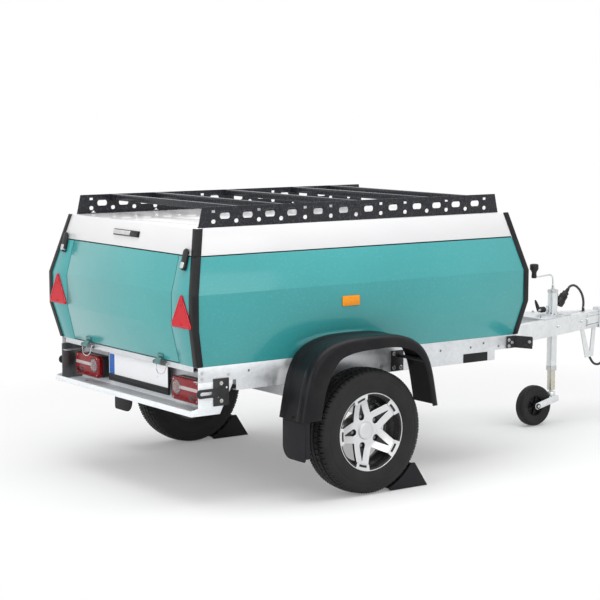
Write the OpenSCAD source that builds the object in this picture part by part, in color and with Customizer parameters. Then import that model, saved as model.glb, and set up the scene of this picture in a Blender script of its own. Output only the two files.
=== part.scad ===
// Small closed box trailer with a hinged lid, a drop-down tailgate and a roof rack.
// +X points forward to the coupling, +Y to the trailer's left and +Z up.
// The origin is on the ground, below the middle of the whole trailer.

/* [Body] */
// Length of the box at its waist
body_len = 1890; // [1500:5:2400]
// Width of the box at its waist
body_w = 1270; // [1000:5:1600]
// Height of the underside of the box above the ground
base_z = 615; // [560:1:700]
// Height from the underside of the box to the lower crease
low_crease_h = 162; // [120:1:220]
// Height from the lower crease to the upper crease
waist_h = 148; // [100:1:220]
// Height from the upper crease to the seam of the lid
shoulder_h = 158; // [100:1:220]
// Height of the lid
lid_h = 115; // [80:1:200]
// Inset of the end faces at the underside
base_in_x = 38; // [10:1:60]
// Inset of the end faces at the roof
top_in_x = 70; // [20:1:120]
// Inset of the side faces at the underside
base_in_y = 30; // [10:1:60]
// Inset of the side faces at the roof
top_in_y = 75; // [20:1:120]
// Thickness of the walls
wall_t = 20; // [10:1:30]
// Thickness of the roof
roof_t = 16; // [8:1:30]
// Thickness of the load floor
floor_t = 18; // [9:1:30]
// Gap round every panel that opens
seam_gap = 5; // [5:0.5:8]
// Half of the width of the tailgate
gate_half_w = 462; // [300:1:520]
// Leg of the corner trims
trim_leg = 29; // [15:1:45]
// Thickness of the corner trims
trim_t = 2.5; // [1.5:0.5:5]

/* [Wheels] */
// Diameter of the road tyres
tyre_d = 562; // [500:1:640]
// Width of the road tyres
tyre_w = 145; // [125:1:185]
// Distance from the waist of the rear face to the wheel centres
axle_x = 826; // [700:1:1200]
// Distance from the centre line to the outer faces of the tyres
track_half = 800; // [760:1:960]
// Radius of the rim flange
rim_r = 176; // [165:1:190]
// Radius of the stub axles
stub_r = 17.5; // [14:0.5:22]
// Running clearance of the wheel hubs
stub_clear = 0.05; // [0.02:0.01:0.1]
// Length of the trailing arms
arm_len = 140; // [110:1:180]
// Height of the axle beam above the wheel centres
arm_rise = 69; // [30:1:100]
// Side of the square axle beam
beam_side = 70; // [50:1:90]

/* [Mudguards] */
// Half of the length of a mudguard
guard_half_len = 378; // [340:1:460]
// Height of the crown of a mudguard above the wheel centre
guard_top = 431; // [370:1:500]
// Height of the lower edges of a mudguard above the wheel centre
guard_low = 88; // [40:1:140]
// Gap from the waist of the box to a mudguard
guard_gap = 6; // [5:1:20]
// Overhang of a mudguard beyond the tyre
guard_over = 25; // [10:1:40]
// Thickness of a mudguard
guard_t = 4; // [3:0.5:6]
// Width of the outer lip of a mudguard
guard_lip = 39; // [25:1:80]
// Height of the mud flaps
flap_h = 177; // [120:1:240]
// Thickness of the mud flaps
flap_t = 5; // [3:0.5:8]

/* [Chassis] */
// Height of the upper side rails
rail_h = 66; // [50:1:90]
// Width of the upper side rails
rail_w = 40; // [30:1:60]
// Height of the lower side rails
sill_h = 47; // [35:1:70]
// Sheet thickness of the rails
rail_t = 3; // [2:0.5:5]
// Setback of the rails from the ends of the box
rail_back = 5; // [2:1:30]
// Start of the lower side rails behind the waist of the rear face
sill_x0 = 235; // [225:1:320]
// End of the lower side rails
sill_x1 = 1712; // [1500:1:1800]
// Height of the cross members
cross_h = 25; // [20:1:40]
// Width of the cross members
cross_w = 40; // [30:1:60]

/* [Drawbar] */
// Height of the drawbar tubes
bar_h = 90; // [60:1:110]
// Width of the drawbar tubes
bar_w = 40; // [30:1:50]
// Sheet thickness of the drawbar tubes
bar_t = 3; // [2:0.5:5]
// Rise of the outline of the drawbar per unit of length
bar_slope = 0.30; // [0.24:0.01:0.36]
// Place where the outer edges of the drawbar would meet
bar_apex_x = 3060; // [2800:5:3300]
// Front ends of the drawbar tubes, behind that place
bar_cut = 64; // [60:1:120]
// Rear ends of the drawbar tubes
bar_x0 = 1182; // [1100:1:1400]
// Length of the coupling head
head_len = 236; // [220:1:340]
// Radius of the ball socket
ball_r = 25.2; // [25.1:0.1:25.5]

/* [Jockey wheel] */
// Place of the jockey leg
jockey_x = 2662; // [2560:1:2720]
// Side of the outer jockey tube
jockey_side = 40; // [36:1:50]
// Side of the sliding jockey leg
leg_side = 30; // [26:1:34]
// Clearance round the sliding leg
leg_clear = 0.3; // [0.2:0.1:0.6]
// Height of the lower end of the outer tube
jockey_z0 = 286; // [240:1:330]
// Height of the upper end of the outer tube
jockey_z1 = 721; // [640:1:760]
// Diameter of the jockey tyre
jockey_d = 216; // [180:1:230]
// Width of the jockey tyre
jockey_w = 56; // [40:1:70]
// Trail of the jockey wheel behind its swivel
jockey_trail = 127; // [60:1:130]

/* [Rack] */
// Height of the rack side panels
rack_h = 88; // [60:1:140]
// Sheet thickness of the rack
rack_t = 4; // [3:0.5:6]
// Length of the rack along its lower edge
rack_len = 1686; // [1600:1:1740]
// Slant of the ends of the rack
rack_slant = 20; // [0:1:40]
// Rear end of the rack in from the rear edge of the roof
rack_inset_x = 25; // [6:1:60]
// Side panels of the rack in from the side edges of the roof
rack_inset_y = 27; // [0:1:40]
// Pitch of the oval holes in the middle of the rack
rack_pitch_mid = 141; // [120:1:160]
// Pitch of the oval holes at the ends of the rack
rack_pitch_end = 117; // [100:1:125]
// Height of the crossbars
crossbar_h = 28; // [20:1:60]
// Width of the crossbars
crossbar_w = 26; // [20:1:40]

/* [Rear tray] */
// Height of the shelf of the lamp tray above the ground
tray_z = 407; // [380:1:440]
// Place of the rear lip of the lamp tray
tray_x0 = 6; // [0:1:20]
// Place of the back panel of the lamp tray
tray_x1 = 151; // [120:1:180]
// Sheet thickness of the lamp tray
tray_t = 4; // [3:0.5:6]
// Width of a rear lamp
lamp_w = 225; // [180:1:250]
// Height of a rear lamp
lamp_h = 105; // [90:1:120]
// Depth of a rear lamp
lamp_depth = 66; // [40:1:70]
// Distance from the centre line to the middle of a rear lamp
lamp_y = 435; // [420:1:455]
// Width of the number plate
plate_w = 520; // [400:1:540]
// Height of the number plate
plate_h = 110; // [90:1:120]

/* [Small parts] */
// Side of the triangular rear reflectors
triangle_side = 150; // [100:1:165]
// Radius of the hinge pins
pin_r = 5; // [4:0.5:7]
// Running clearance of the hinge knuckles
pin_clear = 0.05; // [0.02:0.01:0.1]
// Height of a wheel chock
chock_h = 112; // [80:1:125]
// Width of a wheel chock
chock_w = 115; // [80:1:130]
// Gap from a wheel chock to its tyre
chock_gap = 6; // [5:1:15]
// Diameter of the lighting cable
cable_d = 13; // [8:1:14]

/* [Hidden] */
$fn = 64;
seat = 0.3;

belt_low_z = base_z + low_crease_h;
belt_high_z = belt_low_z + waist_h;
seam_z = belt_high_z + shoulder_h;
top_z = seam_z + lid_h;
half_w = body_w / 2;
base_half_w = half_w - base_in_y;
top_half_w = half_w - top_in_y;
seam_in_x = top_in_x * shoulder_h / (shoulder_h + lid_h);
seam_in_y = top_in_y * shoulder_h / (shoulder_h + lid_h);

tyre_r = tyre_d / 2;
wheel_y = track_half - tyre_w / 2;
tyre_in = track_half - tyre_w;

rail_x0 = base_in_x + rail_back;
rail_x1 = body_len - base_in_x - rail_back - 2;
rail_low_z = base_z - rail_h;
sill_low_z = rail_low_z - sill_h;
rail_in = base_half_w - rail_w;

bar_top_z = base_z - cross_h;
bar_low_z = bar_top_z - bar_h;
bar_angle = atan(bar_slope);
bar_half_cut = bar_w / cos(bar_angle) / 2;
bar_front_x = bar_apex_x - bar_cut;
head_lap = 8;
head_x0 = bar_front_x - head_lap;
nose_x = head_x0 + head_len;

reflector_t = 9;
rear_x = -reflector_t;
mid_x = (rear_x + nose_x) / 2;

guard_in = half_w + guard_gap;
guard_out = track_half + guard_over;
guard_shift = -14;
guard_slant = 0.17;
guard_mid_x = axle_x + guard_shift;
guard_low_z = tyre_r + guard_low;

gate_axis_x = 16;
gate_axis_z = base_z - 7;
lid_axis_x = body_len - seam_in_x + 10;
lid_axis_z = seam_z;
gate_hinge_y = 322;
lid_hinge_y = 400;
hinge_w = 60;

jockey_hub_z = jockey_d / 2;
jockey_wheel_x = jockey_x - jockey_trail;
fork_z1 = 172;
leg_top = jockey_z1 - 150;
plug_from = [jockey_x + 42, 0, 641];
plug_tilt = 43;
plug_len = 106;

rack_x0 = top_in_x + rack_inset_x;
rack_half_w = top_half_w - rack_inset_y;
rack_mid_x = rack_x0 + rack_len / 2 - 4;
rack_y = rack_half_w - rack_t;

cable_points = [[3070, 0, 484], [3074, 0, 452], [3074, 0, 408], [3068, 0, 356], [3050, 0, 312], [3022, 0, 289],
  [2990, 0, 290], [2966, 0, 306], [2946, 0, 333], [2926, 0, 369], [2910, 0, 411], [2897, 0, 458], [2889, 0, 507],
  [2887, 0, 556], [2889, 0, 604], [2890, 0, 640], [2882, 0, 672], [2865, 0, 700], [2840, 0, 723], [2812, 0, 734],
  plug_from + (plug_len + 14) * [sin(plug_tilt), 0, cos(plug_tilt)],
  plug_from + (plug_len + 1.3) * [sin(plug_tilt), 0, cos(plug_tilt)]];

// ---- shared shapes ----

// Moves a shape from the axes of the rear face to the origin of the trailer
module placed() {
  translate([-mid_x, 0, 0])
    children();
}

// Block between two corners
module block(low, high) {
  translate(low)
    cube(high - low);
}

// Side outline of the box, grown by e, swept across the trailer
module side_cut(e) {
  rotate([90, 0, 0])
    linear_extrude(3 * body_w, center = true)
      polygon([[base_in_x - e, base_z], [-e, belt_low_z], [-e, belt_high_z], [top_in_x - e, top_z],
        [body_len - top_in_x + e, top_z], [body_len + e, belt_high_z], [body_len + e, belt_low_z],
        [body_len - base_in_x + e, base_z]]);
}

// Cross-section of the box, grown by e, swept along the trailer
module end_cut(e) {
  rotate([90, 0, 90])
    linear_extrude(3 * body_len, center = true)
      polygon([[base_half_w + e, base_z], [half_w + e, belt_low_z], [half_w + e, belt_high_z],
        [top_half_w + e, top_z], [-top_half_w - e, top_z], [-half_w - e, belt_high_z],
        [-half_w - e, belt_low_z], [-base_half_w - e, base_z]]);
}

module box_outer(e) {
  intersection() {
    side_cut(e);
    end_cut(e);
  }
}

// Part of the trailer between two heights, on side s of the centre line (0 for both)
module slab(low_z, high_z) {
  block([-body_len, -body_w, low_z], [2 * body_len, body_w, high_z]);
}

module below_seam() {
  slab(base_z, seam_z - seam_gap / 2);
}

module above_seam() {
  slab(seam_z + seam_gap / 2, top_z + 1);
}

module on_side(s) {
  mirror([0, s < 0 ? 1 : 0, 0])
    children();
}

// Cylinder along Y between two distances from the centre line
module y_rod(x, z, r, y0, y1) {
  translate([x, y0, z])
    rotate([-90, 0, 0])
      cylinder(h = y1 - y0, r = r);
}

module x_rod(y, z, r, x0, x1) {
  translate([x0, y, z])
    rotate([0, 90, 0])
      cylinder(h = x1 - x0, r = r);
}

module z_rod(x, y, r, z0, z1) {
  translate([x, y, z0])
    cylinder(h = z1 - z0, r = r);
}

module rounded_rect(w, h, r) {
  offset(r)
    square([w - 2 * r, h - 2 * r], center = true);
}

// ---- box ----

module side_panel(s) {
  color("#5fb3b0") placed() on_side(s)
    difference() {
      intersection() {
        box_outer(0);
        below_seam();
        block([-body_len, 0, 0], [2 * body_len, body_w, top_z]);
      }
      end_cut(-wall_t);
    }
}

// End walls between the side panels
module end_walls() {
  difference() {
    intersection() {
      box_outer(0);
      end_cut(-wall_t);
      below_seam();
    }
    side_cut(-wall_t);
  }
}

module front_panel() {
  color("#5fb3b0") placed()
    intersection() {
      end_walls();
      block([body_len / 2, -body_w, 0], [2 * body_len, body_w, top_z]);
    }
}

module rear_corner(s) {
  color("#5fb3b0") placed() on_side(s)
    intersection() {
      end_walls();
      block([-body_len, gate_half_w + seam_gap, 0], [body_len / 2, body_w, top_z]);
    }
}

module tailgate() {
  color("#5fb3b0") placed()
    intersection() {
      end_walls();
      block([-body_len, -gate_half_w, base_z + seam_gap + 1], [body_len / 2, gate_half_w, top_z]);
    }
}

module load_floor() {
  color("#8a6f4d") placed()
    intersection() {
      end_cut(-wall_t);
      side_cut(-wall_t - seam_gap);
      slab(base_z, base_z + floor_t);
    }
}

module lid() {
  color("#f2f2f2") placed()
    difference() {
      intersection() {
        box_outer(0);
        above_seam();
      }
      intersection() {
        box_outer(-wall_t);
        slab(0, top_z - roof_t);
      }
    }
}

// The four angled corner trims, whole from floor to roof
module trims() {
  difference() {
    box_outer(trim_t);
    side_cut(-trim_leg);
    end_cut(-trim_leg);
    box_outer(0);
  }
}

// The four corner columns that the trims follow
module corner_columns() {
  intersection() {
    difference() {
      box_outer(trim_t);
      side_cut(-trim_leg);
    }
    difference() {
      box_outer(trim_t);
      end_cut(-trim_leg);
    }
  }
}

module corner_trims() {
  color("#2b2b2e") placed()
    intersection() {
      difference() {
        corner_columns();
        box_outer(0);
      }
      below_seam();
    }
}

module lid_trims() {
  color("#2b2b2e") placed()
    intersection() {
      difference() {
        corner_columns();
        box_outer(0);
      }
      above_seam();
    }
}

// ---- chassis ----

// Open channel section, w wide and h tall, its web at y = 0 and its mouth inwards
module channel(w, h, t) {
  difference() {
    translate([-w, 0])
      square([w, h]);
    translate([-w - 1, t])
      square([w - t + 1, h - 2 * t]);
  }
}

module side_rail(s) {
  color("#c4c8ca") placed() on_side(s)
    union() {
      translate([rail_x0, base_half_w, rail_low_z])
        rotate([90, 0, 90])
          linear_extrude(rail_x1 - rail_x0)
            channel(rail_w, rail_h, rail_t);
      difference() {
        translate([sill_x0, base_half_w, sill_low_z])
          rotate([90, 0, 90])
            linear_extrude(sill_x1 - sill_x0)
              channel(rail_w - 5, sill_h, rail_t);
        translate([sill_x1, base_half_w - rail_w, rail_low_z - rail_t])
          rotate([0, 45, 0])
            cube([2 * sill_h, 2 * rail_w, 2 * sill_h]);
      }
    }
}

module cross_members() {
  color("#c4c8ca") placed()
    for (x = [rail_x0, 420, 1130, rail_x1 - cross_w])
      difference() {
        block([x, -rail_in + seat, base_z - cross_h], [x + cross_w, rail_in - seat, base_z]);
        block([x + rail_t, -body_w, base_z - cross_h + rail_t], [x + cross_w - rail_t, body_w, base_z - rail_t]);
      }
}

beam_x = axle_x + arm_len;
beam_z = tyre_r + arm_rise;

module axle() {
  saddle_half = 62;
  arm_t = 24;
  arm_y = base_half_w + 4;
  color("#b9bdbf") placed()
    union() {
      block([beam_x - beam_side / 2, -rail_in, beam_z - beam_side / 2],
        [beam_x + beam_side / 2, rail_in, beam_z + beam_side / 2]);
      for (s = [-1, 1])
        on_side(s) {
          // saddle between the beam and the lower rail
          difference() {
            block([beam_x - saddle_half, rail_in + 6, beam_z - 20], [beam_x + saddle_half, base_half_w, sill_low_z]);
            block([beam_x - saddle_half - 1, rail_in + 12, beam_z + 45], [beam_x + saddle_half + 1, base_half_w - 6, sill_low_z - 8]);
          }
          block([beam_x - 25, rail_in - 1, beam_z - 25], [beam_x + 25, arm_y, beam_z + 25]);
          // trailing arm
          translate([0, arm_y + arm_t, 0])
            rotate([90, 0, 0])
              linear_extrude(arm_t)
                hull() {
                  translate([beam_x, beam_z])
                    circle(44);
                  translate([axle_x, tyre_r])
                    circle(31);
                }
          // stub axle
          y_rod(axle_x, tyre_r, stub_r, arm_y + arm_t - 1, wheel_y - 3);
          y_rod(axle_x, tyre_r, stub_r + 8, arm_y + arm_t - 1, arm_y + arm_t + 6);
        }
    }
}

// Centre line of a drawbar tube at x
function bar_y(x) = bar_slope * (bar_apex_x - x) - bar_half_cut;

module drawbar(s) {
  run = (bar_front_x - bar_x0) / cos(bar_angle) + 200;
  color("#d3d7d9") placed() on_side(s)
    intersection() {
      translate([bar_x0, bar_y(bar_x0), bar_low_z])
        rotate([0, 0, -bar_angle])
          translate([-100, -bar_w / 2, 0])
            difference() {
              cube([run, bar_w, bar_h]);
              translate([-1, bar_t, bar_t])
                cube([run + 2, bar_w - 2 * bar_t, bar_h - 2 * bar_t]);
            }
      block([bar_x0, seat / 2, 0], [bar_front_x, body_w, top_z]);
    }
}

// ---- coupling and jockey ----

plate_x0 = 2440;
plate_x1 = 2706;
plate_t = 5;

module cross_plate() {
  clamp_half = jockey_side / 2 + seat;
  color("#c4c8ca") placed()
    difference() {
      union() {
        // plate on top of the tubes
        translate([0, 0, bar_top_z])
          linear_extrude(plate_t)
            polygon([for (p = [[plate_x0, 1], [plate_x1, 1], [plate_x1, -1], [plate_x0, -1]])
              [p[0], p[1] * (bar_y(p[0]) + bar_w / 4)]]);
        // clamp collar round the outer tube
        block([jockey_x - 36, -13, bar_top_z + plate_t - 1], [jockey_x, 13, bar_top_z + 46]);
        block([jockey_x - 34, -34, bar_low_z + 8], [jockey_x + 34, 34, bar_top_z]);
        // clamp screw and its lever
        x_rod(0, bar_top_z + 28, 8, jockey_x - 78, jockey_x - 33);
        x_rod(0, bar_top_z + 28, 15, jockey_x - 88, jockey_x - 62);
        translate([jockey_x - 100, 0, bar_top_z + 24])
          rotate([0, -25, 0])
            translate([-9, -7, 0])
              cube([18, 14, 62]);
        x_rod(0, bar_top_z + 28, 9, jockey_x - 108, jockey_x - 87);
      }
      block([jockey_x - clamp_half, -clamp_half, 0], [jockey_x + clamp_half, clamp_half, top_z]);
    }
}

module jockey_tube() {
  half = jockey_side / 2;
  bore = leg_side / 2 + leg_clear;
  crank_reach = 140;
  crank_z = jockey_z1 + 76;
  color("#cdd1d3") placed() {
    difference() {
      block([jockey_x - half, -half, jockey_z0], [jockey_x + half, half, jockey_z1]);
      block([jockey_x - bore, -bore, jockey_z0 - 1], [jockey_x + bore, bore, jockey_z1 - 5]);
    }
    z_rod(jockey_x, 0, 6, jockey_z1 - 1, crank_z + 9);
    x_rod(0, crank_z, 4, jockey_x - crank_reach, jockey_x);
    z_rod(jockey_x - crank_reach, 0, 12, crank_z - 7, crank_z + 37);
    z_rod(jockey_x - crank_reach, 0, 23, crank_z + 36, crank_z + 70);
  }
}

module coupling() {
  head_in = bar_slope * (bar_cut + head_lap) + seat;
  head_out = head_in + 4;
  ball_x = nose_x - 52;
  ball_z = bar_top_z - 22;
  color("#aeb2b4") placed()
    difference() {
      union() {
        // shank round the ends of the tubes
        difference() {
          block([head_x0, -head_out, bar_low_z - 6], [head_x0 + 150, head_out, bar_top_z + 14]);
          block([head_x0 - 1, -head_in, bar_low_z - seat], [bar_front_x + 2, head_in, bar_top_z + seat]);
        }
        // neck and ball housing
        translate([0, 0, bar_top_z - 40])
          linear_extrude(54)
            hull() {
              translate([head_x0 + 145, 0])
                square([4, 60], center = true);
              translate([ball_x, 0])
                circle(42);
            }
        z_rod(ball_x, 0, 52, bar_top_z - 34, bar_top_z - 4);
        // lever
        translate([0, 9, 0])
          rotate([90, 0, 0])
            linear_extrude(18)
              hull() {
                translate([ball_x + 8, bar_top_z + 18])
                  circle(11);
                translate([head_x0 + 76, bar_top_z + 52])
                  circle(9);
              }
      }
      translate([ball_x, 0, ball_z])
        sphere(r = ball_r);
      z_rod(ball_x, 0, ball_r, bar_top_z - 60, ball_z);
    }
}

module cable_strut() {
  v_mid = bar_front_x - 75;
  v_drop = 162;
  v_w = 38;
  foot = 43;
  color("#bfc3c5") placed()
    translate([v_mid, -bar_y(v_mid), bar_low_z])
      rotate([0, 0, bar_angle])
        for (leg = [[1, 102, 4], [0, 65, 4]])
          mirror([leg[0], 0, 0])
            rotate([90, 0, 0])
              linear_extrude(5, center = true)
                polygon([[-0.5, -v_drop], [foot, -v_drop], [leg[1], -6], [leg[1], 0], [leg[1] - v_w, 0],
                  [leg[1] - v_w, -6], [leg[2], -v_drop + 34], [-0.5, -v_drop + 34]]);
}

module jockey_leg() {
  half = leg_side / 2;
  color("#d0d0c4") placed() {
    difference() {
      block([jockey_x - half, -half, fork_z1 + 8], [jockey_x + half, half, leg_top]);
      block([jockey_x - half + 3, -half + 3, fork_z1 + 14], [jockey_x + half - 3, half - 3, leg_top + 1]);
    }
    z_rod(jockey_x, 0, 9, fork_z1 - 24, fork_z1 + 9);
  }
}

module jockey_fork() {
  cheek_in = jockey_w / 2 + 6;
  cheek_t = 4;
  color("#c4c8ca") placed()
    difference() {
      union() {
        z_rod(jockey_x, 0, 24, fork_z1 - 26, fork_z1);
        // crown above the wheel
        block([jockey_x - 24, -cheek_in - cheek_t, fork_z1 - 26], [jockey_x + 24, cheek_in + cheek_t, fork_z1 - 18]);
        for (s = [-1, 1])
          on_side(s)
            translate([0, cheek_in + cheek_t, 0])
              rotate([90, 0, 0])
                linear_extrude(cheek_t)
                  hull() {
                    translate([jockey_wheel_x, jockey_hub_z])
                      circle(19);
                    translate([jockey_x - 18, fork_z1 - 50])
                      square([42, 32]);
                  }
        y_rod(jockey_wheel_x, jockey_hub_z, 8, -cheek_in - cheek_t - 6, cheek_in + cheek_t + 6);
      }
      z_rod(jockey_x, 0, 9 + pin_clear, 0, fork_z1 + 5);
    }
}

module ring(points) {
  rotate([-90, 0, 0])
    rotate_extrude($fn = 96)
      polygon(points);
}

module jockey_tyre() {
  r = jockey_d / 2;
  h = jockey_w / 2;
  color("#2a2a2c") placed()
    translate([jockey_wheel_x, 0, jockey_hub_z])
      ring([[56, -18], [70, -24], [r - 24, -h], [r - 8, -h + 5], [r, -h + 16], [r, h - 16],
        [r - 8, h - 5], [r - 24, h], [70, 24], [56, 18]]);
}

module jockey_rim() {
  color("#303032") placed()
    translate([jockey_wheel_x, 0, jockey_hub_z])
      ring([[8 + pin_clear, -26], [18, -26], [18, -6], [50, -6], [50, -17], [56 - seat, -17], [56 - seat, 17],
        [50, 17], [50, 6], [18, 6], [18, 26], [8 + pin_clear, 26]]);
}

// ---- wheels ----

module tyre(s) {
  h = tyre_w / 2;
  r = tyre_r;
  color("#26262a") placed() on_side(s)
    translate([axle_x, wheel_y, tyre_r])
      ring([[rim_r - 9, -h + 18], [rim_r + 4, -h + 9], [rim_r + 42, -h], [r - 34, -h + 3], [r - 12, -h + 12],
        [r, -h + 24], [r, h - 24], [r - 12, h - 12], [r - 34, h - 3], [rim_r + 42, h], [rim_r + 4, h - 9],
        [rim_r - 9, h - 18]]);
}

module rim(s) {
  h = tyre_w / 2 - 9;
  disc_y = 4;
  disc_t = 17;
  disc_r = 76;
  lug_r = 56;
  spoke_w = 21;
  well = rim_r - 30;
  color("#d9dbdd") placed() on_side(s)
    translate([axle_x, wheel_y, tyre_r]) {
      ring([[rim_r - 9 - seat, -h + 4], [rim_r - 1, -h], [rim_r - 16, -h - 2], [rim_r - 17, -h + 30], [well - 5, -8],
        [well - 5, 16], [rim_r - 17, h - 24], [rim_r - 17, h + 2], [rim_r - 1, h], [rim_r - 9 - seat, h - 4],
        [rim_r - 11, h - 22], [well, 18], [well, -10], [rim_r - 11, -h + 30]]);
      // dished twin spokes
      for (k = [0:4], a = [-11, 11])
        rotate([0, k * 72 - 20 + a, 0])
          rotate([90, 0, 90])
            translate([0, 0, -spoke_w / 2])
              linear_extrude(spoke_w)
                polygon([[disc_y, 50], [disc_y + disc_t, 50], [disc_y + disc_t + 5, 90], [h - 6, rim_r - 22],
                  [h - 6, rim_r - 16], [h - 24, rim_r - 16], [disc_y + 4, 92]]);
      rotate([-90, 0, 0])
        translate([0, 0, disc_y])
          linear_extrude(disc_t)
            difference() {
              circle(disc_r);
              for (k = [0:4])
                rotate(k * 72 - 110)
                  translate([lug_r, 0])
                    circle(8);
            }
      // cap
      y_rod(0, 0, 37, disc_y + disc_t - 1, disc_y + disc_t + 8);
    }
}

module hub(s) {
  in_y = base_half_w + 36;
  out_y = wheel_y + 4 - seat;
  color("#4a4c4e") placed() on_side(s)
    difference() {
      union() {
        y_rod(axle_x, tyre_r, 44, in_y, out_y - 10);
        y_rod(axle_x, tyre_r, 72, out_y - 12, out_y);
      }
      y_rod(axle_x, tyre_r, stub_r + stub_clear, in_y - 1, out_y - 5.5);
    }
}

// Outline of a mudguard, moved in by e, as seen from the side
function guard_point(t, e) = let (c = cos(t), v = pow(abs(sin(t)), 0.4))
  [guard_mid_x + (guard_half_len - e) * sign(c) * pow(abs(c), 2 / 3) * (1 - guard_slant * v),
   guard_low_z + (guard_top - guard_low - e) * v];

module guard_outline(e) {
  low = guard_low_z - (e > 0 ? 1 : 0);
  polygon(concat([[guard_mid_x + guard_half_len - e, low]], [for (t = [6:4:174]) guard_point(t, e)],
    [[guard_mid_x - guard_half_len + e, low]]));
}

module guard_slice(e, y0, y1) {
  translate([0, y1, 0])
    rotate([90, 0, 0])
      linear_extrude(y1 - y0)
        guard_outline(e);
}

module mudguard(s) {
  flap_x = guard_mid_x - guard_half_len + 12;
  flap_top = guard_low_z + 30;
  arch_shift = 17;
  flap_corner = 60;
  color("#2c2c2f") placed() on_side(s)
    union() {
      difference() {
        union() {
          guard_slice(0, guard_in, guard_out - 22);
          guard_slice(8, guard_out - 22.5, guard_out - 9);
          guard_slice(20, guard_out - 9.5, guard_out);
        }
        guard_slice(guard_t, guard_in - 1, guard_out - 26);
        guard_slice(8 + guard_t, guard_in - 1, guard_out - 13);
        guard_slice(20 + guard_t, guard_in - 1, guard_out - guard_t);
        translate([arch_shift, 0, 0])
          guard_slice(20 + guard_lip, guard_in - 1, guard_out + 1);
      }
      translate([flap_x, 0, 0])
        rotate([90, 0, 90])
          linear_extrude(flap_t)
            hull() {
              translate([guard_in + 8, flap_top - 20])
                square([guard_out - guard_in - 16, 20]);
              translate([guard_in + 8 + flap_corner, flap_top - flap_h - 30 + flap_corner])
                circle(flap_corner);
              translate([guard_out - 8 - 10, flap_top - flap_h - 30 + 10])
                circle(10);
            }
    }
}

// Distance from the middle of the guard to the inside of a mudguard at a height
function guard_inside_x(z) = let (v = (z - guard_low_z) / (guard_top - guard_low - guard_t))
  (guard_half_len - guard_t) * (1 - guard_slant * v) * pow(1 - pow(v, 5), 1 / 3);

module guard_stays() {
  stay_half = 35;
  stay_r = 8;
  z = bar_top_z - 15;
  color("#3a3c3e") placed()
    for (s = [-1, 1], d = [-1, 1])
      let (stay_dx = d < 0 ? 200 : 289)
        on_side(s)
          translate([axle_x, 0, 0])
            mirror([d < 0 ? 1 : 0, 0, 0]) {
              block([stay_dx - stay_half, base_half_w, sill_low_z + 4],
                [stay_dx + stay_half, base_half_w + 5, base_z - 16]);
              y_rod(stay_dx + 10, z, stay_r, base_half_w + 3, guard_out - 34);
              // pad that carries the guard
              block([stay_dx + 6, guard_in + 20, z - stay_r],
                [guard_inside_x(z + stay_r) + d * guard_shift - 0.8, guard_out - 40, z + stay_r]);
            }
}

// ---- rear tray ----

module rear_tray() {
  lip_h = 25;
  plate_front = 217;
  slope_x = tray_x1;
  color("#c9cdcf") placed()
    union() {
      for (s = [-1, 1])
        on_side(s)
          translate([0, base_half_w, 0])
            rotate([90, 0, 0])
              linear_extrude(tray_t)
                polygon([[tray_x0, tray_z], [slope_x, tray_z], [plate_front, rail_low_z - 15],
                  [plate_front, rail_low_z], [rail_x0, rail_low_z], [rail_x0, tray_z + lip_h + 8],
                  [tray_x0, tray_z + lip_h]]);
      block([tray_x0, -base_half_w + 1, tray_z], [tray_x1, base_half_w - 1, tray_z + tray_t]);
      block([tray_x0, -base_half_w + 1, tray_z], [tray_x0 + tray_t, base_half_w - 1, tray_z + lip_h]);
      block([tray_x1 - tray_t, -base_half_w + 1, tray_z], [tray_x1, base_half_w - 1, rail_low_z]);
      block([tray_x1 - tray_t, -rail_in + 1, rail_low_z - 1], [tray_x1, rail_in - 1, base_z - 10]);
    }
}

// Shape of a face in the YZ plane, t thick from x towards the front
module facing(x, y, z, t) {
  translate([x, y, z])
    rotate([90, 0, 90])
      linear_extrude(t)
        children();
}

lamp_mid_z = tray_z + tray_t + 82;
tray_back_x = tray_x1 - tray_t;

module rear_lamp(s) {
  color("#c02430") placed() on_side(s) {
    facing(tray_back_x - lamp_depth, lamp_y, lamp_mid_z, 22)
      rounded_rect(lamp_w, lamp_h, 24);
    facing(tray_back_x - lamp_depth + 22, lamp_y, lamp_mid_z, lamp_depth - 22)
      rounded_rect(lamp_w - 12, lamp_h - 12, 20);
  }
}

holder_margin = 5;
holder_strip = 19;
holder_t = 10;
plate_low_z = tray_z + tray_t + 52;
holder_x = tray_back_x - 45;

module plate_holder() {
  color("#1f1f22") placed() {
    difference() {
      block([holder_x, -plate_w / 2 - holder_margin, plate_low_z - holder_strip],
        [holder_x + holder_t, plate_w / 2 + holder_margin, plate_low_z + plate_h + holder_margin]);
      block([holder_x - 1, -plate_w / 2 - seat, plate_low_z - seat],
        [holder_x + 4, plate_w / 2 + seat, plate_low_z + plate_h + seat]);
    }
    // stand-offs to the back wall of the tray
    for (y = [-190, 190])
      block([holder_x + holder_t - 1, y - 20, plate_low_z + 20], [tray_back_x, y + 20, plate_low_z + 80]);
  }
}

module number_plate() {
  color("#f4f4f2") placed()
    block([holder_x + 1, -plate_w / 2, plate_low_z], [holder_x + 4, plate_w / 2, plate_low_z + plate_h]);
}

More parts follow.
